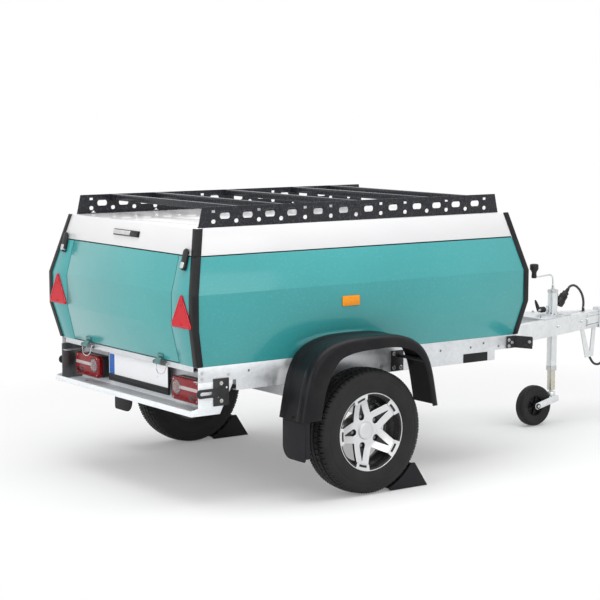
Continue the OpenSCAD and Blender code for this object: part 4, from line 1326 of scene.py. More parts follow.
@dataclass
class RoofRack:
    """Perforated side panels and crossbars."""

    start: float = 95.0
    length: float = 1686.0
    high: float = 88.0
    low_z: float = 1198.0
    face: float = 533.0
    middle_pitch: float = 141.0
    end_pitch: float = 117.0

    @property
    def middle(self) -> float:
        """Middle of the hole pattern."""
        return self.start + self.length / 2 - 4

    def ovals(self) -> list[float]:
        """Places of the oval holes along the rack.

        Returns:
            Their middles in X, in order.
        """
        half = [self.middle_pitch * (k + 0.5) for k in range(3)]
        half += [self.middle_pitch * 2.5 + self.end_pitch * k for k in (1, 2, 3)]
        return sorted(self.middle + sign * step for step in half for sign in (-1, 1))

    def columns(self) -> list[float]:
        """Places of the columns between the oval holes, from the middle outwards."""
        steps = [self.middle_pitch * k for k in range(3)] + [self.middle_pitch * 2.5 + self.end_pitch * 0.5]
        return steps + [self.middle_pitch * 2.5 + self.end_pitch * (k + 0.5) for k in (1, 2, 3)]

    def lip(self, stock: Stock, side: Side, middle: Point, hole: Point, stations: Sequence[Point]) -> None:
        """Adds one pressed lip; a hole is its length, height and corner radius."""
        long, high, radius = hole
        stock.rings([[(x, side.value * (self.face + out), z)
                      for x, z in rounded(long + 2 * grow, high + 2 * grow, radius + grow, at=middle)]
                     for grow, out in stations])

    def lips(self) -> None:
        """Adds the pressed lips round the holes."""
        stock = Stock()
        for side in Side:
            for x in self.ovals():
                for stations in (((0.3, -4.0), (0.3, -5.1), (1.6, -5.9), (3.0, -5.1), (4.4, -4.0)),
                                 ((4.6, -0.2), (5.4, 1.2), (6.8, 1.6), (8.4, -0.2))):
                    self.lip(stock, side, (x, self.low_z + self.high * 0.54), (53, 26, 11), stations)
            for sign in (-1, 1):
                for step in self.columns():
                    if step == 0 and sign < 0:
                        continue
                    self.lip(stock, side, (self.middle + sign * step, self.low_z + self.high * 0.28),
                             (23, 18, 8.5), ((0.2, -4.0), (0.2, -5.0), (1.2, -5.6), (2.6, -5.0), (3.4, -4.0)))
        stock.piece("rack_lips", "lid", (RACK_BLACK,))

    def fixings(self) -> None:
        """Adds crossbar brackets, their bolts and the feet on the lid."""
        stock = Stock()
        bars = [-self.columns()[5], -self.columns()[3], 0.0, self.columns()[3], self.columns()[5]]
        for step in bars:
            x = self.middle + step
            for side in Side:
                for half, y0, y1, z0, z1, edge in ((13, -8.3, -4.3, 60, 84, 1.2),
                                                   (9, -0.2, 1.4, 56, 87.6, 0.6)):
                    stock.block((x - half, side.value * (self.face + y0), self.low_z + z0),
                                (x + half, side.value * (self.face + y1), self.low_z + z1), edge)
                stock.dome((x, side.value * (self.face + 1.2), self.low_z + 72), (0, side.value, 0), 3.6, 1.6)
        for side in Side:
            for x in (176, 520, 900, 1330, 1660):
                stock.lathe([(0, 0), (13, 0), (13, 2.4), (9, 3.2), (0, 3.2)],
                            (x, side.value * (self.face - 14), self.low_z + 4), (0, 0, 1), 24, 1)
                stock.dome((x, side.value * (self.face - 14), self.low_z + 7), (0, 0, 1), 6.4, 6.0, 1)
        stock.piece("rack_fixings", "lid", (RACK_BLACK, BOLT))

    def build(self) -> None:
        """Builds the rack."""
        for node in ("rack_panel_left", "rack_panel_right"):
            dress(node, RACK_BLACK)
        eased("rack_crossbars", 1.4, "lid", RACK_BLACK)
        self.lips()
        self.fixings()
        log.info("roof rack: panels, crossbars, lips and fixings")


# ---- rear ----


@dataclass
class RearLamp:
    """One rear lamp: housing, ribbed lens, stripe and round clear lens."""

    side: Side
    middle_y: float = 435.0
    middle_z: float = 493.0
    back_x: float = 147.0
    face_x: float = 81.0
    width: float = 225.0
    height: float = 105.0
    round_y: float = 368.0
    round_z: float = 500.0
    stripe: tuple[float, float] = (463.0, 502.0)
    dark: tuple[float, float] = (497.0, 466.0)

    def build(self) -> None:
        """Builds the lamp."""
        s = self.side.value
        stock = Stock()

        def shell(stations: Sequence[Point], skin: int, shift: float = 0.0, narrow: float = 0.0) -> None:
            """Adds a rounded shell through stations of inset and place."""
            middle, wide = (s * (self.middle_y + shift), self.middle_z), self.width - narrow
            stock.rings([[(x, y, z) for y, z in
                          rounded(wide - 2 * inset, self.height - 2 * inset, 22 - inset, 8, middle)]
                         for inset, x in stations], skin, caps=True)

        shell(((4, self.back_x), (2, self.back_x - 8), (2, 112), (5, 104)), 1, -14, 8)
        shell(((0.8, 106), (0, 100), (0, 90), (1.4, 85.5), (4.4, 82.4), (9, self.face_x + 0.2)), 0)
        stock.prism(rounded(150, 15, 7, at=(s * self.stripe[0], self.stripe[1])), self.face_x - 0.6,
                    self.face_x + 3, Axis.X, 0.5, 2)
        centre = (self.face_x + 2.0, s * self.round_y, self.round_z)
        stock.lathe([(34, 2), (34, -2.2), (32.5, -3.0), (31, -2.2)], centre, (1, 0, 0), 48, 1)
        stock.lathe([(31, -2.2), (29, -1.6), (28, 1.0), (20, 3.4), (12, 1.2), (11, -0.6), (0, -0.6)], centre,
                    (1, 0, 0), 48, 3)
        stock.lathe([(30.5, -2.4), (24, -3.6), (12, -4.4), (0, -4.6)], centre, (1, 0, 0), 40, 4)
        for k in range(8):
            turn = math.radians(45 * k + 10)
            y, z = centre[1] + 21 * math.cos(turn), self.round_z + 21 * math.sin(turn)
            stock.dome((self.face_x + 1.0, y, z), (-1, 0, 0), 3.2, 1.6, 3)
        stock.prism(rounded(60, 26, 4, at=(s * self.dark[0], self.dark[1])), self.face_x - 0.5,
                    self.face_x + 2, Axis.X, 0.6, 5)
        for y, z in ((342, 532), (528, 532), (342, 454), (528, 454)):
            stock.dome((self.face_x + 1.4, s * y, z), (-1, 0, 0), 3.6, 1.8, 3)
        stock.piece(f"rear_lamp_{self.side.word}_unit", "chassis",
                    (RED_LENS, HOLDER_BLACK, MILKY, WIRE, CLEAR, DARK_RED_LENS),
                    (f"rear_lamp_{self.side.word}",))
        log.info("rear lamp, %s", self.side.word)


@dataclass
class RearEnd:
    """Rear lamps, blank plate, tray and side brackets."""

    plate_low: float = 463.0
    plate_x: float = 102.0
    wide: float = 520.0
    high: float = 110.0
    # Where the painted-shade sheet inside each end plate starts, by side.
    cheek_start: dict[Side, float] = field(default_factory=lambda: {Side.LEFT: 38.0, Side.RIGHT: 90.0})

    def plate(self) -> None:
        """Builds the blank plate with its raised rim and blue band."""
        stock = Stock()
        middle = self.plate_low + self.high / 2
        sections = ((0.2, 4.0), (0.2, 1.4), (0.8, 0.7), (2.6, 0.4), (3.6, 1.0), (4.4, 1.2))
        stock.rings([[(self.plate_x + x, y, z)
                      for y, z in rounded(self.wide - 2 * inset, self.high - 2 * inset, 9, at=(0, middle))]
                     for inset, x in sections])
        face = [(self.plate_x + 1.2, y, z)
                for y, z in rounded(self.wide - 8.8, self.high - 8.8, 6, at=(0, middle))]
        stock.add(face, [tuple(range(len(face)))])
        stock.prism(rounded(45, 102, 4, 5, (233, middle)), self.plate_x + 0.5, self.plate_x + 1.3, Axis.X,
                    0.2, 1)
        for y in (-170, 170):
            stock.dome((self.plate_x + 1.0, y, middle), (-1, 0, 0), 5.0, 2.0)
        stock.piece("plate_sheet", "chassis", (PLATE_WHITE, BAND_BLUE), ("number_plate",))
        eased("plate_holder", 1.4, "chassis", HOLDER_BLACK)
        lip = Stock()
        lip.block((self.plate_x - 1.8, -260, self.plate_low - 3),
                  (self.plate_x + 1.0, 260, self.plate_low + 14))
        lip.piece("holder_lip", "chassis", (HOLDER_BLACK,))

    def tray(self) -> None:
        """Finishes the tray, with its bolts, its drain holes and a dark steel sheet inside each end plate,
        which is painted shade.
        """
        eased("rear_tray", 0.8, "chassis", ZINC_TRAY)
        stock = Stock()
        for side in Side:
            s = side.value
            for x, z in ((62, 590), (196, 575), (62, 565)):
                stock.bolt((x, s * 605, z), (0, s, 0), 10.0)
            for y in (560, 230):
                stock.bolt((147, s * y, 585), (-1, 0, 0), 10.0)
            stock.block((10.5, s * 540, 411), (24, s * 566, 421), 1.2, 1)
            # Dark steel sheet on the inner face of each end plate: painted shade, standing in for the shadow
            # on that face.
            stock.block((self.cheek_start[side], s * 597.6, 414), (146, s * 600.7, 581), 1.2, 2)
            for x in (60, 105):
                stock.lathe([(0, 0.3), (9, 0.3), (9.6, 0), (0, 0)], (x, s * 480, 411.2), (0, 0, 1), 20, 1)
        stock.piece("tray_bolts", "chassis", (BOLT, BRACKET_BLACK, DARK_STEEL))

    def brackets(self) -> None:
        """Finishes the black side brackets and adds their bolts."""
        eased("rear_brackets", 1.0, "chassis", BRACKET_BLACK)
        stock = Stock()
        for side in Side:
            s = side.value
            for z in (540, 464):
                stock.bolt((156, s * 610, z), (0, s, 0), 10.0)
            for x, z in ((135, 515), (183, 520), (140, 485)):
                stock.lathe([(0, 0.4), (4.2, 0.4), (4.8, 0), (0, 0)], (x, s * 610, z), (0, s, 0), 18, 1)
        stock.piece("rear_bracket_bolts", "chassis", (BOLT, WIRE))

    def build(self) -> None:
        """Builds the rear end."""
        for side in Side:
            RearLamp(side).build()
        self.plate()
        self.tray()
        self.brackets()
        log.info("rear end: tray, plate, brackets")


# ---- chassis ----


@dataclass
class Chassis:
    """Rails, cross members, axle and front brackets."""

    rail_y: float = 605.0

    def rails(self) -> None:
        """Finishes the rails and adds bolts, drain holes and the blank label."""
        for side in Side:
            eased(f"side_rail_{side.word}", 0.9, "chassis", ZINC)
        eased("cross_members", 0.9, "chassis", ZINC)
        stock = Stock()
        for side in Side:
            s = side.value
            for x, z in ((1375, 574), (1560, 574), (1640, 588), (300, 582), (1735, 566)):
                stock.lathe([(0, 0.5), (5.2, 0.5), (6.0, 0), (0, 0)], (x, s * self.rail_y, z), (0, s, 0), 20,
                            1)
            for x in (905, 1025):
                for z in (512, 534):
                    stock.bolt((x, s * self.rail_y, z), (0, s, 0))
            stock.prism(rounded(150, 42, 3, at=(1590, 524)), s * self.rail_y, s * 606.2, Axis.Y, 0.4, 2)
        stock.piece("rail_bolts", "chassis", (BOLT, DARK_STEEL, TRIM_BLACK))

    def axle(self) -> None:
        """Finishes the axle and adds its bolts."""
        dress("axle", ZINC)
        stock = Stock()
        for side in Side:
            s = side.value
            for x in (921, 1011):
                stock.bolt((x, s * self.rail_y, 486), (0, s, 0))
            stock.lathe([(0, 6), (20, 6), (24, 2), (24, 0), (0, 0)], (966, s * 633, 350), (0, s, 0), 32)
        stock.piece("axle_bolts", "chassis", (BOLT,))

    def front_brackets(self) -> None:
        """Finishes the front brackets, with their bolts and lamps."""
        for side in Side:
            dress(f"front_lamp_{side.word}", BRACKET_BLACK)
        stock = Stock()
        for side in Side:
            s = side.value
            for x, z in ((1798, 590), (1798, 562), (1818, 577)):
                stock.bolt((x, s * 610, z), (0, s, 0), 9.0)
            place = Matrix.Diagonal((1, s, 1, 1)) @ Matrix.Translation((1838, 605, 0)) @ Matrix.Rotation(
                math.radians(-22), 4, "Z")
            stock.bolt(place @ Vector((-5, 80, 584)), place.to_3x3() @ Vector((-1, 0, 0)), 9.0)
            rings = [[(x, y, z) for y, z in rounded(74 - 2 * inset, 50 - 2 * inset, 8, at=(48, 581))]
                     for inset, x in ((4, 22), (4, 25.5), (6, 27.6), (10, 28.4))]
            stock.rings(rings, 1, caps=True, turn=place)
        stock.piece("front_lamp_lenses", "chassis", (BOLT, MILKY))

    def build(self) -> None:
        """Builds the chassis fittings."""
        self.rails()
        self.axle()
        self.front_brackets()
        log.info("chassis: rails, axle, front brackets")


@dataclass
class Drawbar:
    """The two tubes, their plates, the coupling head and the cable strut."""

    apex: float = 3060.0
    slope: float = 0.30

    def edge_y(self, x: float) -> float:
        """Outer face of a tube at x."""
        return self.slope * (self.apex - x)

    def tubes(self) -> None:
        """Finishes the tubes and adds bolts and side plates."""
        for side in Side:
            eased(f"drawbar_{side.word}", 2.6, "chassis", ZINC_BAR)
        stock = Stock()
        lean = math.degrees(math.atan(self.slope))
        for side in Side:
            s = side.value
            out = Vector((math.sin(math.radians(lean)), math.cos(math.radians(lean)) * s, 0))
            for x, z in ((2800, 548), (2860, 552), (2560, 548)):
                stock.bolt((x, s * self.edge_y(x), z), out, 11.0)
            place = (Matrix.Diagonal((1, s, 1, 1)) @ Matrix.Translation((2862, self.edge_y(2862), 0))
                     @ Matrix.Rotation(math.radians(-lean), 4, "Z"))
            stock.block((0, 0.2, 524), (128, 3.0, 566), 1.2, 1, place)
            for z in (517, 573):
                stock.block((-2, 0.2, z - 4), (128, 6.0, z + 4), 2.4, 1, place)
        clip = [(2884, -16, 590), (2884, -16, 606), (2886, -8, 612), (2890, 0, 613), (2894, 8, 612),
                (2896, 16, 606), (2896, 16, 590)]
        stock.tube(smooth_route(clip, 3), 2.2, 8, 2)
        stock.piece("drawbar_bolts", "chassis", (BOLT, ZINC_BAR, WIRE))

    def coupling(self) -> None:
        """Finishes the coupling head and adds its lever grip and bolts."""
        eased("coupling", 1.6, "chassis", CAST)
        dress("cable_strut", ZINC_BAR)
        stock = Stock()
        for side in Side:
            s = side.value
            for x in (3024, 3086):
                stock.bolt((x, s * 25.7, 545), (0, s, 0), 17.0)
        grip = [(x, 0.0, z) for x, z in ((3058, 648.5), (3100, 636.4), (3140, 624.7))]
        stock.tube(grip, 11.5, 16, 1)
        stock.piece("coupling_fittings", "chassis", (BOLT, HOLDER_BLACK))

    def build(self) -> None:
        """Builds the drawbar."""
        self.tubes()
        self.coupling()
        log.info("drawbar: tubes, coupling, strut")


# ---- mudguards ----


@dataclass
class Mudguard:
    """One mudguard with its rolled lip, screws and rubber flap."""

    side: Side
    middle_x: float = 812.0
    half_length: float = 378.0
    low_z: float = 369.0
    top_z: float = 712.0
    slant: float = 0.17
    inner: float = 641.0
    outer: float = 825.0

    def spot(self, turn: float, y: float, inset: float) -> Triple:
        """A point of the guard.

        Args:
            turn: Angle round the arch, in degrees from its front.
            y: Distance from the centre line.
            inset: Distance in from the outline.

        Returns:
            The point.
        """
        angle = math.radians(turn)
        rise = abs(math.sin(angle)) ** 0.4
        along = math.copysign(abs(math.cos(angle)) ** (2 / 3), math.cos(angle)) * (1 - self.slant * rise)
        return (self.middle_x + (self.half_length - inset) * along, self.side.value * y,
                self.low_z + (self.top_z - self.low_z - inset) * rise)

    def section(self, turn: float) -> list[tuple[float, float]]:
        """Section of the sheet as pairs of distance out and inset.

        Args:
            turn: Angle round the arch, in degrees.

        Returns:
            The closed section.
        """
        share = min(max((turn - 118) / 36, 0.0), 1.0)
        lip = 58 - 17 * math.cos(math.radians(turn)) + 19 * share * share * (3 - 2 * share)
        a, b = self.inner, self.outer
        skin = [(a, 0.0), (a + 8, 0.0), (a + 40, 0.0), (a + 44, 1.8), (a + 50, 2.6), (b - 64, 2.6),
                (b - 58, 1.8), (b - 54, 0.0), (b - 34, 0.0), (b - 24, 0.8), (b - 15, 3.2), (b - 8, 7.6),
                (b - 3, 14.0), (b - 0.6, 21.0), (b, 29.0), (b, lip - 4), (b - 0.8, lip - 1), (b - 2.6, lip)]
        back = [(b - 4.4, lip - 1), (b - 5, lip - 5), (b - 5, 29.0), (b - 6, 20.0), (b - 12, 11.0),
                (b - 20, 6.6), (b - 34, 5.0), (a + 44, 6.6), (a, 5.0)]
        return skin + back

    def shell(self, stock: Stock) -> None:
        """Adds the moulded shell.

        Args:
            stock: Where its faces go.
        """
        start = [0.0, 0.02, 0.1, 0.4, 1.0, 2.0, 3.2, 4.6, 6.0]
        turns = start + [6 + 168 * k / 84 for k in range(1, 84)] + [180 - t for t in reversed(start)]
        rings = [[self.spot(t, y, e) for y, e in self.section(t)] for t in turns]
        stock.rings(rings, caps=True)

    def flap(self, stock: Stock) -> None:
        """Adds the rubber flap below the rear leg.

        Args:
            stock: Where its faces go.
        """
        s = self.side.value
        x0 = self.middle_x - self.half_length + 12
        low, high, a, b = 192.0, 396.0, self.inner + 8, self.outer - 8
        outline = [(a, high)]
        for y, radius, start, steps in ((a + 58, 58.0, 180, 8), (b - 12, 12.0, 270, 4)):
            for k in range(steps + 1):
                turn = math.radians(start + 90 * k / steps)
                outline.append((y + radius * math.cos(turn), low + radius + radius * math.sin(turn)))
        outline.append((b, high))
        stock.prism([(s * y, z) for y, z in outline], x0, x0 + 5, Axis.X, 1.4, 1)
        stock.block((x0 + 1, s * (b - 4), low + 14), (x0 + 26, s * b, high), 1.6, 1)
        stock.block((x0 - 1.6, s * (a + 4), high - 42), (x0 + 2, s * (b - 4), high - 36), 1.4, 1)

    def build(self) -> None:
        """Builds the guard and its flap."""
        s = self.side.value
        stock = Stock()
        self.shell(stock)
        self.flap(stock)
        back_x = self.middle_x - self.half_length + 1.5
        for y in (668, 732, 796):
            stock.dome((back_x + 0.2, s * y, 381), (-1, 0, 0), 5.2, 3.0)
        stock.piece(f"mudguard_{self.side.word}_shell", "chassis",
                    (GUARD_BLACK, FLAP_RUBBER), (f"mudguard_{self.side.word}",), crease=40.0)
        log.info("mudguard, %s", self.side.word)


# ---- road wheels ----


@dataclass
class RoadWheel:
    """One road wheel: tyre with tread, twin-spoke rim and hub."""

    side: Side
    centre_x: float = 826.0
    wheel_y: float = 727.5
    radius: float = 281.0
    spokes: int = 5
    phase: float = -20.0
    blocks: int = 66
    lug_circle: float = 68.0
    body: str = field(init=False)

    def __post_init__(self) -> None:
        """Names the body that the wheel turns with."""
        self.body = f"wheel_{self.side.word}"

    def put(self, angle: float, radius: float, out: float) -> Triple:
        """A point at an angle from straight up, with its radius and its distance out."""
        turn = math.radians(angle)
        return (self.centre_x + radius * math.sin(turn), self.side.value * (self.wheel_y + out),
                self.radius + radius * math.cos(turn))

    def tyre(self) -> None:
        """Builds the tyre."""
        wall = [(167.2, 54.0), (170, 58.6), (174.5, 61.6), (179, 63.4), (183, 66.0), (185, 66.4), (187, 66.6),
                (189, 68.0), (198, 70.0), (207, 71.3), (216, 72.1), (226, 72.5), (233, 72.4), (235, 71.2),
                (237, 71.2), (239, 72.0), (246, 71.2), (254, 69.4), (261, 67.0), (266, 64.6), (270.5, 61.6),
                (274, 58.2), (276.8, 54.0)]
        crown = [50.0, 45.0, 41.6, 41.0, 35.0, 34.4, 30.0, 24.0, 17.0, 15.6, 15.0, 9.0, 8.4, 4.0]
        half = wall + [(self.radius - 0.0021 * y * y, y) for y in crown] + [(self.radius, 0.0)]
        profile = half + [(r, -y) for r, y in half[-2::-1]]
        per_block = 6
        steps = self.blocks * per_block
        stock = Stock()
        rings = [[self.put(360 * j / steps, r - self.groove(j, per_block, r, y), y) for r, y in profile]
                 for j in range(steps)]
        stock.rings(rings, closed=True, wrap=False)
        stock.piece(f"{self.body}_tyre_carcass", self.body, (TYRE_RUBBER,),
                    (f"tyre_{self.side.word}",), crease=38.0)

    @staticmethod
    def groove(step: int, per_block: int, radius: float, y: float) -> float:
        """Depth of the tread at a point.

        Args:
            step: Number of the step round the tyre.
            per_block: Steps in one tread block.
            radius: Radius of the point.
            y: Distance from the tyre's middle plane.

        Returns:
            The depth.
        """
        if radius < 262:
            return 0.0
        across = abs(y)
        if 8.9 < across < 15.5 or 34.7 < across < 41.3:
            return 6.5
        part = step % per_block
        if across >= 41.3:
            share = min((radius - 262) / 10, 1.0)
            if part == 0:
                return 6.5 * share
            return 3.5 * share if part == 3 else 0.0
        if across >= 15.5:
            shift = (step + (2 if y > 0 else 4)) % per_block
            return 4.0 if shift == 0 else 0.0
        return 1.2 if part == 1 else 0.0

    def face_out(self, radius: float) -> float:
        """Distance out from the middle plane of the spokes' face at a radius."""
        share = min(max((radius - 66) / 92, 0.0), 1.0)
        return 21.0 + 36.0 * (share ** 1.25)

    def hollow(self, along: float) -> float:
        """Half of the width of the recess between a twin's two arms.

        Args:
            along: Distance from the axis along the middle of the twin.

        Returns:
            Half of the width.
        """
        lug = math.sqrt(max(15.5 ** 2 - (along - self.lug_circle) ** 2, 0.0))
        wedge = 1.5 + 12.0 * (134.0 - along) / 58.0 if 76.0 <= along <= 134.0 else 0.0
        return max(lug, wedge)

    def twin(self, stock: Stock, angle: float) -> None:
        """Adds one twin spoke, with the dark recess between its arms.

        Args:
            stock: Where its faces go.
            angle: Its direction, in degrees.
        """
        half_sector = math.tan(math.pi / self.spokes)
        stations = [30, 40, 48, 52.4, 52.6, 54, 57, 62, 68, 72, 75.9, 76.1, 80, 86, 94, 102, 110, 118, 126,
                    133.9, 134.1, 140, 148]
        for sign in (-1, 1):
            rings = []
            for along in stations:
                inner, full = self.hollow(along), 33.5 + 15.5 * (146 - along) / 78
                outer = min(full, along * half_sector)
                outer_edge = 1.5 if full < along * half_sector else 0.0
                inner_edge = 1.2 if inner > 0 else 0.0
                deep = 15.0
                a, b = inner + inner_edge, outer - outer_edge
                outline = ((inner, deep), (inner, inner_edge), (a, 0.0), (a + (b - a) / 3, 0.0),
                           (a + (b - a) * 2 / 3, 0.0), (b, 0.0), (outer, outer_edge), (outer, deep))
                ring = []
                for across, down in outline:
                    reach = math.hypot(along, across)
                    lean = math.degrees(math.atan2(sign * across, along))
                    ring.append(self.put(angle + lean, reach, self.face_out(reach) - down))
                rings.append(ring)
            for k in range(len(rings[0]) - 1):
                stock.rings([ring[k:k + 2] for ring in rings], 0 if 1 <= k <= 5 else 1, wrap=False)
        floor = []
        for along in (79, 90, 102, 114, 124, 134):
            half = self.hollow(along) + 0.3
            reach = math.hypot(along, half)
            lean = math.degrees(math.atan2(half, along))
            floor.append([self.put(angle - lean, reach, self.face_out(reach) - 4.6),
                          self.put(angle + lean, reach, self.face_out(reach) - 4.6)])
        stock.rings(floor, 2, wrap=False)

    def bridge(self, stock: Stock, angle: float) -> None:
        """Adds the arc that joins a twin at the rim, with its slot.

        Args:
            stock: Where its faces go.
            angle: Middle of the twin, in degrees.
        """
        arch = ((146.5, 44.0), (146.5, 55.0), (147.6, 56.4), (162.5, 59.8), (171.6, 62.2), (171.6, 60.0),
                (164.0, 44.0))
        slot = ((149.8, 56.4), (150.0, 57.5), (160.2, 59.7), (160.6, 58.8))
        for skin, (section, half, steps) in enumerate(((arch, 13.3, 16), (slot, 7.8, 8))):
            stock.rings([[self.put(angle - half + 2 * half * k / steps, radius, out)
                          for radius, out in section]
                         for k in range(steps + 1)], skin, caps=True)

    def rim(self) -> None:
        """Builds the rim."""
        s = self.side.value
        centre = (self.centre_x, s * self.wheel_y, self.radius)
        axis = (0, s, 0)
        stock = Stock()
        stock.lathe([(163.6, 55.0), (163.6, 57.6), (165.0, 58.8), (168.2, 60.0), (171.0, 61.6)], centre, axis,
                    128, 2)
        stock.lathe([(171.0, 61.6), (171.6, 63.0), (172.9, 63.5), (174.6, 63.2), (175.4, 61.8), (175.0, 60.2),
                     (170.5, 58.0), (166.8, 54.0)], centre, axis, 128)
        stock.lathe([(163.6, 58.0), (161.6, 52.0), (160.6, 44.0), (159.6, 22.0), (150, 12.0), (142.5, 2.0),
                     (142.0, -14.0), (152, -26.0), (158.6, -46.0), (162, -58.0), (170, -62.4), (175, -63.4),
                     (175.4, -61.0), (166.8, -55.0), (166.0, -30.0), (147.0, -14.0), (147.0, 4.0),
                     (165.0, 30.0), (166.8, 54.0)], centre, axis, 96, 2)
        for k in range(self.spokes):
            angle = self.phase + 360 / self.spokes * k
            self.twin(stock, angle)
            self.bridge(stock, angle)
            well = self.put(angle, self.lug_circle, 0.0)
            stock.lathe([(15.6, 19.0), (14.6, 12.0), (12.4, 6.0), (0, 6.0)], well, axis, 28, 1)
            stock.lathe([(0, 6.0), (8.6, 6.0), (8.6, 10.0), (7.4, 11.4), (0, 11.4)], well, axis, 6, 3)
        stock.lathe([(0, 3.4), (82, 3.4), (85, 6.0), (84.0, 9.0), (83.0, 10.0), (0, 10.0)], centre, axis, 72,
                    1)
        stock.lathe([(39.4, 20.0), (39.4, 24.6), (37.6, 27.2), (34.0, 28.6), (26, 29.8), (16, 30.6),
                     (9, 30.4), (0, 29.9)], centre, axis, 64, 4)
        valve = self.put(self.phase + 36, 138.0, 0.0)
        stock.lathe([(3.4, 10), (3.4, 30), (4.4, 31), (4.4, 40), (3.6, 42), (0, 42)], valve, axis, 16, 1)
        spot = tuple(workshop(centre))
        turned = Turned(f"machined_alloy_{self.side.word}", (0.66, 0.665, 0.675), spot, rough=0.3)
        cap = Turned(f"cap_alloy_{self.side.word}", (0.62, 0.63, 0.64), spot, rough=0.34, pitch=3000.0)
        stock.piece(f"{self.body}_alloy_rim", self.body,
                    (turned, RIM_POCKET, RIM_BARREL, HUB_STEEL, cap), (f"rim_{self.side.word}",), crease=28.0)

    def build(self) -> None:
        """Builds the wheel."""
        self.tyre()
        self.rim()
        dress(f"hub_{self.side.word}", HUB_STEEL)
        log.info("road wheel, %s", self.side.word)


@dataclass
class Chock:
    """One ribbed wheel chock."""

    side: Side
    axle_x: float = 826.0
    wheel_y: float = 727.5
    radius: float = 281.0
    wide: float = 115.0
    high: float = 112.0
    gap: float = 6.0
    nose: float = 116.0
    back: float = 328.0

    def outline(self, inset: float) -> list[tuple[float, float]]:
        """Side outline of the chock.

        Args:
            inset: How far the outline is moved in.

        Returns:
            The outline in X and Z.
        """
        reach = self.radius + self.gap + inset
        start_z, end_z = 13.0 + inset, self.high - inset
        points = [(self.axle_x + self.nose + inset, inset)]
        for k in range(13):
            z = start_z + (end_z - start_z) * k / 12
            points.append((self.axle_x + math.sqrt(reach ** 2 - (self.radius - z) ** 2), z))
        tip = points[-1][0]
        points += [(tip + 22 - inset, self.high - inset), (self.axle_x + self.back - inset * 1.8, inset)]
        return points

    def build(self) -> None:
        """Builds the chock."""
        s = self.side.value
        stock = Stock()
        y0, y1 = sorted((s * (self.wheel_y - self.wide / 2), s * (self.wheel_y + self.wide / 2)))
        for low, high in ((y0, y0 + 9), (y1 - 9, y1)):
            stock.prism(self.outline(0.0), low, high, Axis.Y, 1.4)
        stock.prism(self.outline(5.0), y0 + 5, y1 - 5, Axis.Y)
        slope = Matrix.Rotation(math.radians(-31), 4, "Y")
        for k in range(5):
            share = (k + 0.5) / 5
            x = self.axle_x + self.back - 76 * share
            place = Matrix.Translation((x - 4, 0, self.high * share)) @ slope
            stock.block((-4, y0 + 6, -4), (4.4, y1 - 6, 4), 1.2, 0, place)
        for share in (0.25, 0.5, 0.75):
            z = 13 + (self.high - 24) * share
            x = self.axle_x + math.sqrt((self.radius + self.gap) ** 2 - (self.radius - z) ** 2)
            stock.block((x + 0.8, y0 + 7, z - 3), (x + 9, y1 - 7, z + 3))
        stock.piece(f"chock_{self.side.word}_body", f"chock_{self.side.word}", (FLAP_RUBBER,),
                    (f"chock_{self.side.word}",))
        log.info("chock, %s", self.side.word)


# ---- jockey wheel ----


